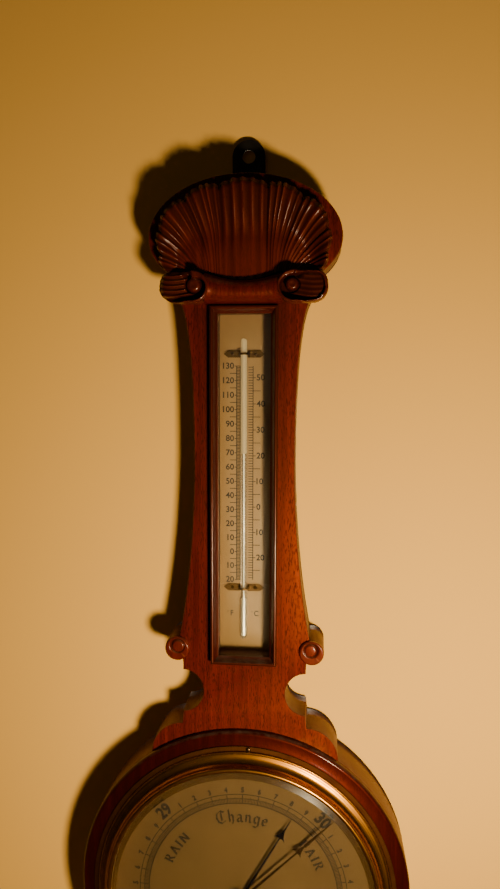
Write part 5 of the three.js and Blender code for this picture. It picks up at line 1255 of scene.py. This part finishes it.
blackletter = {
    "C": (0.8, [[(0.66, 0.86), (0.42, 1.0), (0.12, 0.84), (0.03, 0.48), (0.12, 0.14), (0.36, 0.0), (0.68, 0.16)],
                [(0.42, 0.86), (0.4, 0.22)]]),
    "h": (0.52, [[(0.08, 1.0), (0.1, 0.06)], [(0.1, 0.48), (0.26, 0.6), (0.38, 0.48), (0.36, 0.06), (0.28, -0.12)]]),
    "a": (0.54, [[(0.06, 0.52), (0.22, 0.6), (0.36, 0.5), (0.36, 0.06), (0.46, 0.02)],
                 [(0.36, 0.34), (0.12, 0.28), (0.06, 0.12), (0.18, 0.0), (0.34, 0.12)]]),
    "n": (0.56, [[(0.02, 0.54), (0.1, 0.6), (0.1, 0.04)],
                 [(0.1, 0.48), (0.28, 0.6), (0.38, 0.48), (0.38, 0.04), (0.48, 0.02)]]),
    "g": (0.54, [[(0.36, 0.54), (0.18, 0.6), (0.06, 0.46), (0.08, 0.14), (0.2, 0.02), (0.36, 0.14)],
                 [(0.4, 0.6), (0.4, -0.14), (0.26, -0.3), (0.06, -0.24)]]),
    "e": (0.5, [[(0.08, 0.3), (0.36, 0.38), (0.32, 0.54), (0.2, 0.6), (0.06, 0.46), (0.08, 0.12), (0.2, 0.0),
                 (0.4, 0.12)]]),
}


def penStroke(bm, a, b, nib, hairline, matrix):  # a broad pen drawn from a to b
    along = Vector((b[0] - a[0], b[1] - a[1]))
    if along.length == 0:
        return
    along.normalize()
    across = Vector((-along.y, along.x))
    swing = -1 if across.dot(Vector(nib)) < 0 else 1
    half = Vector(nib) / 2 + across * swing * hairline / 2
    start, end = Vector(a) - along * hairline / 2, Vector(b) + along * hairline / 2
    corners = [start - half, end - half, end + half, start + half]
    face = bm.faces.new([bm.verts.new(matrix @ Vector((p.x, p.y, 0))) for p in corners])
    grown = bmesh.ops.extrude_face_region(bm, geom=[face])
    bmesh.ops.translate(bm, vec=(0, 0, printing["height"]), verts=grownVerts(grown))


def letterWord(bm, word, style, degrees, radius, z):  # letters set round the dial
    alphabet, height, spacing = style["alphabet"], style["height"], style["spacing"]
    advances = [alphabet[letter][0] * height + spacing for letter in word]
    place = -(sum(advances) - spacing) / 2
    for letter, advance in zip(word, advances):
        width = advance - spacing
        angle = math.radians(degrees) + (place + width / 2) / radius
        matrix = (
            Matrix.Translation((radius * math.sin(angle), radius * math.cos(angle), z))
            @ Matrix.Rotation(-angle, 4, "Z")
            @ Matrix.Translation((-width / 2, -height / 2, 0))
            @ Matrix.Diagonal((height, height, 1, 1))
        )
        for stroke in alphabet[letter][1]:
            for a, b in zip(stroke, stroke[1:]):
                penStroke(bm, a, b, style["nib"], style["hairline"], matrix)
        place += advance


figureMeshes = {}


def figure(text, weight):  # the outline of a number, filled and one unit high
    if (text, weight) not in figureMeshes:
        curve = bpy.data.curves.new("figure", "FONT")
        curve.body = text
        curve.size = printing["figureSize"]
        curve.align_x = "CENTER"
        curve.align_y = "CENTER"
        curve.resolution_u = printing["figureSteps"]
        curve.extrude = 0.5
        curve.offset = weight
        holder = bpy.data.objects.new("figure", curve)
        bpy.context.scene.collection.objects.link(holder)
        bpy.context.view_layer.update()
        filled = bpy.data.meshes.new_from_object(holder.evaluated_get(bpy.context.evaluated_depsgraph_get()))
        bm = bmesh.new()
        bm.from_mesh(filled)
        bmesh.ops.remove_doubles(bm, verts=bm.verts[:], dist=meshing["weld"])
        bpy.data.meshes.remove(filled)
        dropObject(holder)
        figureMeshes[text, weight] = bm
    return figureMeshes[text, weight]


def placeFigure(bm, text, height, matrix, narrow, weight):
    shape = Matrix.Diagonal((height * narrow, height, printing["height"], 1)) @ Matrix.Translation((0, 0, 0.5))
    merge(bm, figure(text, weight), matrix @ shape, keep=True)


def ringLine(bm, radius, width, z):
    inner, outer, top = radius - width / 2, radius + width / 2, z + printing["height"]
    merge(bm, spinProfile([(inner, z), (outer, z), (outer, top), (inner, top)], printing["ringSteps"]))


scale = {
    "degreesPerInch": 88.0, "top": 29.5, "low": 28.0, "high": 31.0, "outer": 80.4, "middle": 77.0, "inner": 73.2,
    "ringWidths": {"outer": 0.62, "middle": 0.5, "inner": 0.66}, "line": 0.46, "tenthLine": 1.5, "halfRise": 1.4,
    "tenth": {"radius": 83.8, "size": 4.0, "weight": 0.085}, "inch": {"radius": 87.4, "size": 9.8, "weight": 0.05},
    "narrow": 0.86,
}
words = {
    "roman": {"alphabet": serifs, "height": 6.8, "nib": (0.17, 0), "hairline": 0.065, "spacing": 2.2},
    "gothic": {"alphabet": blackletter, "height": 10.0, "nib": (0.1, 0.075), "hairline": 0.035, "spacing": 1.3},
    # each word with its letters, its place in degrees from the top and its radius
    "places": (
        ("RAIN", "roman", -56, 62), ("FAIR", "roman", 57, 64), ("STORMY", "roman", -113, 63),
        ("VERY DRY", "roman", 114, 63), ("Change", "gothic", 0, 63.2),
    ),
}


def dialPrinting():
    bm = bmesh.new()
    z = dial["plateFront"]
    top = z + printing["height"]
    for name, width in scale["ringWidths"].items():
        ringLine(bm, scale[name], width, z)
    hundredths = round((scale["high"] - scale["low"]) * 100)
    for i in range(hundredths + 1):
        reading = scale["low"] + i / 100
        angle = math.radians((reading - scale["top"]) * scale["degreesPerInch"])
        turn = Matrix.Rotation(-angle, 4, "Z")
        isTenth = i % 10 == 0
        end = scale["outer"] if isTenth else scale["middle"] if i % 5 else scale["middle"] + scale["halfRise"]
        width = scale["line"] * (scale["tenthLine"] if isTenth else 1)
        addBox(bm, (-width / 2, scale["inner"], z), (width / 2, end, top), turn)
        if isTenth:
            tenth = (i // 10) % 10
            text = str(tenth) if tenth else str(round(reading))
            form = scale["tenth" if tenth else "inch"]
            place = turn @ Matrix.Translation((0, form["radius"], z))
            placeFigure(bm, text, form["size"], place, scale["narrow"], form["weight"])
    for word, style, degrees, radius in words["places"]:
        letterWord(bm, word, words[style], degrees, radius, z)
    return bm


makePiece("dialPrinting", dialPrinting(), "case", ink, (), 30, False)
print("stage: dial printing")


# Hands and setting knob

hands = {
    "pointer": {
        "angle": 30, "tip": 75.5, "moon": 58.5, "tail": 26, "boss": 3.6, "back": 11.4, "thick": 0.5, "blade": 0.55,
        "hole": 1.2, "bossTop": 0.8,
    },
    "setHand": {
        "angle": 46, "tip": 96.0, "moon": 59.5, "tail": 18, "boss": 4.6, "back": 13.9, "thick": 0.5, "blade": 1.3,
        "hole": 1.7, "bossTop": 0.5,
    },
    "barHalf": 0.95, "hornHalf": 4.7, "pointHalf": 0.18, "counter": 3.4, "edgeRound": 0.12,
    # half widths of the bar as shares of barHalf: at the tail, both sides of the boss and up to the moon
    "bar": {
        "tail": (0.75, 3.4), "boss": (1.2, 1.15), "belowMoon": ((0.72, -12), (0.6, -1.5)), "pastMoon": (0.6, 5.9),
    },
    # the moon's horn as shares of hornHalf, with the height from the moon
    "horn": ((0.5, -1.3), (0.8, -2.0), (1.0, -3.0), (0.86, -1.5), (0.6, -0.2), (0.38, 1.9), (0.2, 4.6)),
    "bladeFoot": 7.0, "bossStep": 0.05, "bossTaper": 0.75,
}


def handBlade(form):
    width, moon, tail, bar = hands["barHalf"], form["moon"], form["tail"], hands["bar"]
    right = [(width * bar["tail"][0], -tail + bar["tail"][1])]
    right += [(width * bar["boss"][0], -form["boss"]), (width * bar["boss"][1], form["boss"])]
    right += [(width * share, moon + rise) for share, rise in bar["belowMoon"]]
    right += [(hands["hornHalf"] * share, moon + rise) for share, rise in hands["horn"]]
    right.append((width * bar["pastMoon"][0], moon + bar["pastMoon"][1]))
    right += [(form["blade"], moon + hands["bladeFoot"]), (hands["pointHalf"], form["tip"])]
    outline = right + [(-x, y) for x, y in reversed(right)]
    bm = extrudeOutline(outline, 0, form["thick"])
    merge(bm, roundPlug(hands["counter"], 0, form["thick"], 36), Matrix.Translation((0, -tail, 0)))
    return roundEdges(bm, hands["edgeRound"], 1, minAngle=60)


def handPiece(name, key, node, body, material):
    form = hands[key]
    hole, boss, top = form["hole"], form["boss"], form["bossTop"]
    bm = handBlade(form)
    merge(bm, spinProfile([
        (hole, 0), (boss, 0), (boss, form["thick"] + hands["bossStep"]), (boss * hands["bossTaper"], top),
        (hole, top),
    ], 48))
    bm.transform(Matrix.Translation((0, 0, form["back"])) @ Matrix.Rotation(-math.radians(form["angle"]), 4, "Z"))
    makePiece(name, bm, body, material, [node], 30)


handPiece("pointerHand", "pointer", "pointer", "pointer", bluedSteel)
handPiece("settingHand", "setHand", "set_hand", "set_hand", agedBronze)

knob = {
    "radius": 8.0, "back": 18.0, "spindle": 1.4, "spindleEnd": 13.1, "edge": 0.2,
    # shares of the radius, with the height in front of the knob's back
    "profile": (
        (0.58, 0), (0.6, 1.2), (0.9, 1.7), (1.0, 2.2), (1.0, 4.1), (0.95, 4.6), (0.86, 5.2), (0.6, 4.75),
        (0.3, 4.58), (0, 4.55),
    ),
    "flutes": 40, "fluteDepth": 0.018, "flutedFrom": 0.93,
}


def settingKnob():
    end, spindle, edge, radius = knob["spindleEnd"], knob["spindle"], knob["edge"], knob["radius"]
    profile = [(0, end), (spindle - edge, end), (spindle, end + edge), (spindle, knob["back"])]
    profile += [(radius * share, knob["back"] + rise) for share, rise in knob["profile"]]
    bm = spinProfile(profile, knob["flutes"] * 4, False)
    for vert in bm.verts:  # milled edge
        if math.hypot(vert.co.x, vert.co.y) > radius * knob["flutedFrom"]:
            wave = math.cos(knob["flutes"] * math.atan2(vert.co.y, vert.co.x))
            vert.co.xy *= 1 - knob["fluteDepth"] * (1 - wave)
    return bm


makePiece("settingKnob", settingKnob(), "set_hand", darkBronze, ["set_hand_knob"], 35)
print("stage: hands")


# Thermometer: mitred frame, scale plate, tube, mercury and clips

moulding = {
    "halfWidth": 19.5, "low": 185.8, "high": 442.8, "width": 5.4, "foot": 0.3, "height": 6.4, "arris": 1.3,
    "mitreGap": 0.06,
    # the inner slope: distance out from the opening, height
    "slope": [(0, 1.5), (0.5, 1.72), (1.0, 2.1), (1.5, 2.75), (2.0, 3.65), (2.4, 4.6), (2.7, 5.4)],
}


def frameSection():
    width, arris, foot = moulding["width"], moulding["arris"], moulding["foot"]
    top = foot + moulding["height"]
    arrisArc = arcPoints(width - arris, top - arris, arris, arris, 150, 0, steps=12)
    return [(0, foot)] + moulding["slope"] + arrisArc + [(width, foot)]


def frameBar(halfLength, halfAcross):  # the section swept along x and cut at 45 degrees
    bm = bmesh.new()
    reach = halfLength - moulding["mitreGap"]
    face = bm.faces.new([bm.verts.new((reach + out, halfAcross + out, z)) for out, z in frameSection()])
    grown = bmesh.ops.extrude_face_region(bm, geom=[face])
    for vert in grownVerts(grown):
        vert.co.x *= -1
    bmesh.ops.recalc_face_normals(bm, faces=bm.faces[:])
    return bm


frameMiddle = (moulding["low"] + moulding["high"]) / 2
frameHalf = (moulding["high"] - moulding["low"]) / 2
for word, turn, length, across in (
    ("top", 0, moulding["halfWidth"], frameHalf), ("left", 90, frameHalf, moulding["halfWidth"]),
    ("bottom", 180, moulding["halfWidth"], frameHalf), ("right", -90, frameHalf, moulding["halfWidth"]),
):
    bar = frameBar(length, across)
    bar.transform(Matrix.Translation((0, frameMiddle, 0)) @ Matrix.Rotation(math.radians(turn), 4, "Z"))
    makePiece(
        f"frameMoulding{word.capitalize()}", bar, "case", frameMahogany,
        [f"thermometer_frame_{word}"], 25,
    )

coverPane = {"low": (-22.1, 183.2, -2.3), "high": (22.1, 445.4, -0.3), "edgeRound": 0.15}
makePiece(
    "thermometerGlass",
    roundEdges(addBox(bmesh.new(), coverPane["low"], coverPane["high"]), coverPane["edgeRound"], 1),
    "case", clearGlass, ["thermometer_glass"], 30,
)

scalePlate = {
    "low": (-20.3, 185.0, -16.5), "high": (20.3, 443.6, -15.0), "edgeRound": 0.4, "pinHole": 0.9,
    "holeReach": (1.5, 1),  # behind and in front of the plate
}
thermometer = {
    "x": -1.5, "z": -11.7, "radius": 2.6, "top": 426.0, "bulb": 3.0, "bulbLow": 195.0, "bulbHigh": 229.0,
    "neck": 235.0, "bore": 1.0, "bulbBore": 2.1, "mercuryTop": 339.4, "bulbTip": 0.7, "bulbTipAngle": -72,
    # from bulb to tube: how much thinner the glass is there, and how far along
    "bulbShoulder": (0.15, 1.5), "neckFoot": (0.5, 3.5), "neckTop": (0.15, 1),
    # the bore's closed end as shares of the bore, and how far its wide part stays off the bulb's ends
    "boreDome": ((0.7, 1.2), (1, 2)), "bulbBoreHigh": 2.1, "bulbBoreLow": 3, "bulbTipWall": 1.5,
}
clip = {
    "heights": (("upper", 414.2), ("lower", 235.0)), "halfLength": 15.6, "width": 5.4, "thick": 0.6, "gap": 0.3,
    "bend": (0.6, 0.7), "pointNormal": (0.62, 0.78), "spare": 1, "pinX": 8.8, "pinHole": 0.9,
    "archHalf": 0.8, "archGap": (0.3, 0.1),  # the loop over the tube is narrower than the strap
}


def pinPlug(side, height, low, high, radius, steps, x=0.0):  # a hole for one of the clips' pins
    return roundPlug(radius, low, high, steps, x + side * clip["pinX"], height)


def thermometerPlate():
    bm = roundEdges(addBox(bmesh.new(), scalePlate["low"], scalePlate["high"]), scalePlate["edgeRound"], 2)
    behind, ahead = scalePlate["holeReach"]
    low, high = scalePlate["low"][2] - behind, scalePlate["high"][2] + ahead
    return cutAway(bm, [
        pinPlug(side, height, low, high, scalePlate["pinHole"], 16, thermometer["x"])
        for _, height in clip["heights"] for side in (-1, 1)
    ])


makePiece("scalePlate", thermometerPlate(), "case", ivorine, ["thermometer_plate"], 35)

markings = {
    "perFahrenheit": 1.096, "zeroAt": 262.72, "low": -20, "high": 130, "celsiusLow": -28, "celsiusHigh": 54,
    "left": {"rails": (-4.5, -7.3), "drawn": (-4.5, -7.3), "ten": -8.9, "five": -12.4, "figures": -9.3},
    "right": {"rails": (1.7, 5.2), "drawn": (5.2,), "ten": 7.3, "five": 10.8, "figures": 7.9},
    "figure": 4.7, "weight": 0.03, "rail": 0.62, "tick": 0.52,
    "unit": {"size": 4.4, "narrow": 0.9, "weight": 0.04, "x": 9.5, "height": 214},
    "degreeRing": {"inner": 0.45, "outer": 0.7, "left": 3.2, "up": 1.6, "steps": 20},
}


def plateHeight(fahrenheit):
    return markings["zeroAt"] + fahrenheit * markings["perFahrenheit"]


def plateFigure(bm, text, side, x, y, z):  # the figure stands against x, clear of the ticks
    outline = figure(text, markings["weight"])
    near = max(side * -v.co.x for v in outline.verts)
    middle = Matrix.Translation((x + side * near * markings["figure"], y, z))
    placeFigure(bm, text, markings["figure"], middle, 1.0, markings["weight"])


def platePrinting():
    bm = bmesh.new()
    z = scalePlate["high"][2]
    top = z + printing["height"]

    def tick(x0, x1, y):
        half = markings["tick"] / 2
        addBox(bm, (min(x0, x1), y - half, z), (max(x0, x1), y + half, top))

    low, high = plateHeight(markings["low"]), plateHeight(markings["high"])
    fahrenheit = [(value, plateHeight(value)) for value in range(markings["low"], markings["high"] + 1)]
    celsius = [
        (value, plateHeight(value * 1.8 + 32)) for value in range(markings["celsiusLow"], markings["celsiusHigh"] + 1)
    ]
    for side, form, values in ((-1, markings["left"], fahrenheit), (1, markings["right"], celsius)):
        for x in form["drawn"]:
            addBox(bm, (x - markings["rail"] / 2, low, z), (x + markings["rail"] / 2, high, top))
        for value, y in values:
            tick(*form["rails"], y)
            if value % 5 == 0:
                tick(form["rails"][1], form["ten"] if value % 10 == 0 else form["five"], y)
            if value % 10 == 0:
                plateFigure(bm, str(abs(value)), side, form["figures"], y, z)
    unit, ring = markings["unit"], markings["degreeRing"]
    for x, text in ((-unit["x"], "F"), (unit["x"], "C")):
        middle = x + thermometer["x"]
        place = Matrix.Translation((middle, unit["height"], z))
        placeFigure(bm, text, unit["size"], place, unit["narrow"], unit["weight"])
        sign = spinProfile([
            (ring["inner"], z), (ring["outer"], z), (ring["outer"], top), (ring["inner"], top),
        ], ring["steps"])
        merge(bm, sign, Matrix.Translation((middle - ring["left"], unit["height"] + ring["up"], 0)))
    return bm


makePiece("platePrinting", platePrinting(), "case", ink, (), 30, False)


def alongTube(profile, steps=40, closed=True):  # turned round the tube's own axis
    bm = spinProfile(profile, steps, closed)
    place = Matrix.Translation((thermometer["x"], 0, thermometer["z"]))
    bm.transform(place @ Matrix.Rotation(-math.pi / 2, 4, "X"))
    return bm


def tubeProfile():  # (radius, height) up the outside and down the bore
    t = thermometer
    bulb, radius, bore, low, high = t["bulb"], t["radius"], t["bore"], t["bulbLow"], t["bulbHigh"]
    dome = t["top"] - radius
    (slim, along), (footSlim, footAlong), (topSlim, below) = t["bulbShoulder"], t["neckFoot"], t["neckTop"]
    points = [(t["bulbTip"], low)]
    points += arcPoints(0, low + bulb, bulb, bulb, t["bulbTipAngle"], 0, steps=8)
    points += [(bulb, high), (bulb - slim, high + along), (radius - footSlim, high + footAlong)]
    points += [(radius - topSlim, t["neck"] - below), (radius, t["neck"]), (radius, t["mercuryTop"])]
    points += arcPoints(0, dome, radius, radius, 0, 90, steps=10)
    points.append((0, dome - bore))
    points += [(bore * across, dome - bore * down) for across, down in t["boreDome"]]
    points += [(bore, t["mercuryTop"]), (bore, high), (t["bulbBore"], high - t["bulbBoreHigh"])]
    points += [(t["bulbBore"], low + t["bulbBoreLow"]), (t["bulbTip"], low + t["bulbTipWall"])]
    return points


mercury = {
    "fromBulbLow": ((0, 2.2), (1.0, 2.4), (1.8, 3.3)), "fromBulbHigh": ((1.8, -2.6), (0.7, -0.3)),
    "fromTop": ((0.7, -0.5), (0.4, -0.1), (0, 0)), "steps": 24,
}


def mercuryProfile():
    return [
        (radius, thermometer[level] + rise)
        for key, level in (("fromBulbLow", "bulbLow"), ("fromBulbHigh", "bulbHigh"), ("fromTop", "mercuryTop"))
        for radius, rise in mercury[key]
    ]


tubePiece = makePiece(
    "thermometerTube", alongTube(tubeProfile()), "case", milkyGlass, ["thermometer_tube"], 30,
)
secondFinish(tubePiece, tubeGlass, lambda spot: spot.y < thermometer["mercuryTop"])
makePiece(
    "mercuryThread", alongTube(mercuryProfile(), mercury["steps"], False), "case", quicksilver,
    ["thermometer_mercury"], 30,
)


def clipSection():  # a flat strap that arches over the tube, in x and z
    flat, thick, (bendOut, bendUp) = scalePlate["high"][2] + clip["gap"], clip["thick"], clip["bend"]
    inner, end, centre = thermometer["radius"] + clip["gap"], clip["halfLength"], thermometer["z"]
    outer = inner + thick
    section = [(end, flat), (end, flat + thick), (outer + bendOut, flat + thick), (outer, flat + thick + bendUp)]
    section += arcPoints(0, centre, outer, outer, 0, 180, steps=20)
    section += [(-outer, flat + thick + bendUp), (-outer - bendOut, flat + thick), (-end, flat + thick)]
    section += [(-end, flat), (-inner, flat)]
    section += arcPoints(0, centre, inner, inner, 180, 0, steps=20) + [(inner, flat)]
    return section


def trimAway(bm, spot, normal):  # everything on the normal's side goes, and the cut is filled
    cut = bmesh.ops.bisect_plane(
        bm, geom=bm.verts[:] + bm.edges[:] + bm.faces[:], plane_co=spot, plane_no=normal, clear_outer=True,
    )
    edges = [part for part in cut["geom_cut"] if isinstance(part, bmesh.types.BMEdge)]
    if edges:
        bmesh.ops.holes_fill(bm, edges=edges, sides=0)


def tubeClip(height):
    half, spare, (out, up) = clip["width"] / 2, clip["spare"], clip["pointNormal"]
    flat = scalePlate["high"][2] + clip["gap"]
    bm = bmesh.new()
    face = bm.faces.new([bm.verts.new((x, height - half - spare, z)) for x, z in clipSection()])
    grown = bmesh.ops.extrude_face_region(bm, geom=[face])
    bmesh.ops.translate(bm, vec=(0, 2 * half + 2 * spare, 0), verts=grownVerts(grown))
    bmesh.ops.recalc_face_normals(bm, faces=bm.faces[:])
    for side in (-1, 1):  # flat top and bottom, with the ends drawn to a point
        for way in (-1, 1):
            trimAway(bm, (0, height + way * half, 0), (0, way, 0))
            trimAway(bm, (side * clip["halfLength"], height, 0), (side * out, way * up, 0))
    cutters = [pinPlug(side, height, flat - 1, flat + 2, clip["pinHole"], 20) for side in (-1, 1)]
    outer = thermometer["radius"] + clip["gap"] + clip["thick"]
    beside, above = clip["archGap"]
    rim, crown, base = outer + beside, thermometer["z"] + outer + 1, flat + clip["thick"] + above
    for low, high in ((clip["archHalf"], half + 2), (-half - 2, -clip["archHalf"])):
        cutters.append(addBox(bmesh.new(), (-rim, height + low, base), (rim, height + high, crown)))
    bm = cutAway(bm, cutters)
    bm.transform(Matrix.Translation((thermometer["x"], 0, 0)))
    return bm


clipPin = {
    "steps": 24, "seat": 1.2,  # how far the head's foot stands in front of the plate
    "profile": [
        (0, -6), (0.25, -5.9), (0.6, -5.2), (0.6, 0), (1.2, 0), (1.2, 0.2), (1.0, 0.5), (0.6, 0.72), (0.25, 0.8),
        (0, 0.82),
    ],
}
for level, height in clip["heights"]:
    makePiece(
        f"tubeClip{level.capitalize()}", tubeClip(height), "case", clipBrass,
        [f"tube_clip_{level}"], 35,
    )
    for side, word in ((-1, "left"), (1, "right")):
        pin = spinProfile(clipPin["profile"], clipPin["steps"], False)
        place = (thermometer["x"] + side * clip["pinX"], height, scalePlate["high"][2] + clipPin["seat"])
        bmesh.ops.translate(pin, vec=place, verts=pin.verts[:])
        makePiece(
            f"clipPin{level.capitalize()}{word.capitalize()}", pin, "case", pinBrass,
            [f"clip_pin_{level}_{word}"], 40,
        )
print("stage: thermometer")


# Back cover

cover = {
    "radius": 98.2, "back": -32.6, "front": -31.4, "hole": 5.0, "edge": 0.3, "screwHole": 1.8, "steps": 192,
    # turned grooves: the radii of their corners, and their depth
    "grooves": (((12, 12.6, 13.4, 14), 0.25), ((80, 80.8, 82.2, 83), 0.3)),
}


def backCover():
    back, front, radius, edge = cover["back"], cover["front"], cover["radius"], cover["edge"]
    profile = [(cover["hole"], front), (cover["hole"], back)]
    for (start, wall, far, end), deep in cover["grooves"]:
        profile += [(start, back), (wall, back + deep), (far, back + deep), (end, back)]
    profile += [(radius - edge, back), (radius, back + edge), (radius, front)]
    bm = spinProfile(profile, cover["steps"])
    return cutAway(bm, [
        roundPlug(cover["screwHole"], back - 1, front + 1, 24, *roundSpot(screws["coverRadius"], 90 + 120 * index))
        for index in range(3)
    ])


makePiece("backCover", backCover(), "case", plateBrass, ["back_cover"], 30)
print("stage: back cover")


# The movement and other nodes that keep their CAD shape

keptFinishes = {
    "glass_spacer_ring": plateBrass, "set_hand_washer": lacqueredBrass, "base_plate": movementBrass,
    "dial_pillar_1": movementBrass, "dial_pillar_2": movementBrass, "dial_pillar_3": movementBrass,
    "vacuum_capsule": nickelSilver, "adjusting_screw": steel, "capsule_post": steel, "spring_bridge": blackIron,
    "mainspring": steel, "leaf_screw_left": bluedSteel, "leaf_screw_right": bluedSteel, "main_lever": movementBrass,
    "link": steel, "rocking_bar": steel, "rocker_post_left": movementBrass, "rocker_post_right": movementBrass,
    "fusee_chain": steel, "arbor_bridge": movementBrass, "pointer_arbor": steel, "hairspring": bluedSteel,
}
for node, material in keptFinishes.items():
    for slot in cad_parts[node].material_slots:
        slot.material = material
print("stage: movement finishes")


# Floor, wall, light and camera

studio = {
    "planeSize": 4, "roughness": 0.85, "cloud": (1.2, 3.0, 0.5), "cloudLift": 1.06,
    "floorHeight": -1.5, "floorColour": (0.74, 0.60, 0.40, 1),
    "wallY": 0.002, "wallColour": (0.82, 0.45, 0.085, 1), "wallClearWithin": 0.012,
    # each lamp's place, aim, size, power and colour
    "lamps": {
        "key": ((0.225, -0.5, -0.44), (0, -0.03, -0.38), 0.07, 5.9, (1.0, 0.80, 0.48)),
        "fill": ((-0.5, -1.6, 0.3), (0, -0.03, -0.38), 1.2, 0.4, (1.0, 0.80, 0.52)),
        "rear": ((0, 1.1, -0.35), (0, 0, -0.35), 0.3, 3.0, (1.0, 0.80, 0.52)),
    },
    "sky": (1.0, 0.80, 0.52), "skyStrength": 0.014,
}


def stageMaterial(name, colour):
    material, tree, principled, coords, output = newMaterial(name, {"Roughness": studio["roughness"]})
    cloud = noiseNode(tree, coords, *studio["cloud"])
    lighter = tuple(min(1, c * studio["cloudLift"]) for c in colour[:3]) + (1,)
    tree.links.new(mixColour(tree, cloud, colour, lighter), principled.inputs["Base Color"])
    return material, tree, principled, output


def stagePlane(name, place, material):
    bm = bmesh.new()
    bmesh.ops.create_grid(bm, x_segments=1, y_segments=1, size=studio["planeSize"], matrix=place)
    plane = looseObject(bm, name)
    plane.data.materials.append(material)


def wallPaint():  # from behind, and for rays that start right beside it, the wall isn't there
    material, tree, principled, output = stageMaterial("wallPaint", studio["wallColour"])
    geometry = addNode(tree, "ShaderNodeNewGeometry")
    path = addNode(tree, "ShaderNodeLightPath")
    nearby = mathNode(tree, "LESS_THAN", path.outputs["Ray Length"], studio["wallClearWithin"])
    away = mathNode(tree, "MAXIMUM", geometry.outputs["Backfacing"], nearby)
    clear = addNode(tree, "ShaderNodeBsdfTransparent")
    blend = addNode(tree, "ShaderNodeMixShader", links={0: away, 1: principled.outputs[0], 2: clear.outputs[0]})
    tree.links.new(blend.outputs[0], output.inputs["Surface"])
    return material


wallMaterial = wallPaint()
floorMaterial = stageMaterial("floorPaint", studio["floorColour"])[0]
stagePlane("floor", Matrix.Translation((0, 0, studio["floorHeight"])), floorMaterial)
wallPlace = Matrix.Translation((0, studio["wallY"], studio["floorHeight"] + studio["planeSize"]))
stagePlane("wall", wallPlace @ Matrix.Rotation(math.pi / 2, 4, "X"), wallMaterial)


def areaLight(name, place, aim, size, power, colour):
    lamp = bpy.data.lights.new(name, "AREA")
    lamp.size = size
    lamp.energy = power
    lamp.color = colour
    holder = bpy.data.objects.new(name, lamp)
    holder.location = place
    holder.rotation_euler = (Vector(aim) - Vector(place)).to_track_quat("-Z", "Y").to_euler()
    bpy.context.scene.collection.objects.link(holder)


for name, form in studio["lamps"].items():
    areaLight(name, *form)
world = bpy.data.worlds.new("studioAir")
bpy.context.scene.world = world
world.use_nodes = True
sky = world.node_tree.nodes["Background"]
sky.inputs["Color"].default_value = (*studio["sky"], 1)
sky.inputs["Strength"].default_value = studio["skyStrength"]

view = {
    "place": (0.05332, -0.547, -0.16841), "right": (0.995446, 0.095304, 0.001896),
    "down": (0.010598, -0.090884, -0.995805), "forward": (-0.094732, 0.991291, -0.091481),
    "lens": 28.347, "sensor": 36, "nearest": 0.01,
}
camera = bpy.data.cameras.new("camera")
camera.sensor_width = view["sensor"]
camera.sensor_fit = "AUTO"
camera.lens = view["lens"]
camera.clip_start = view["nearest"]
holder = bpy.data.objects.new("camera", camera)
axes = [Vector(view["right"]), -Vector(view["down"]), -Vector(view["forward"])]
holder.matrix_world = Matrix.Translation(view["place"]) @ Matrix(axes).transposed().to_4x4()
bpy.context.scene.collection.objects.link(holder)
bpy.context.scene.camera = holder
print("stage: studio and camera")

for shape in figureMeshes.values():
    shape.free()
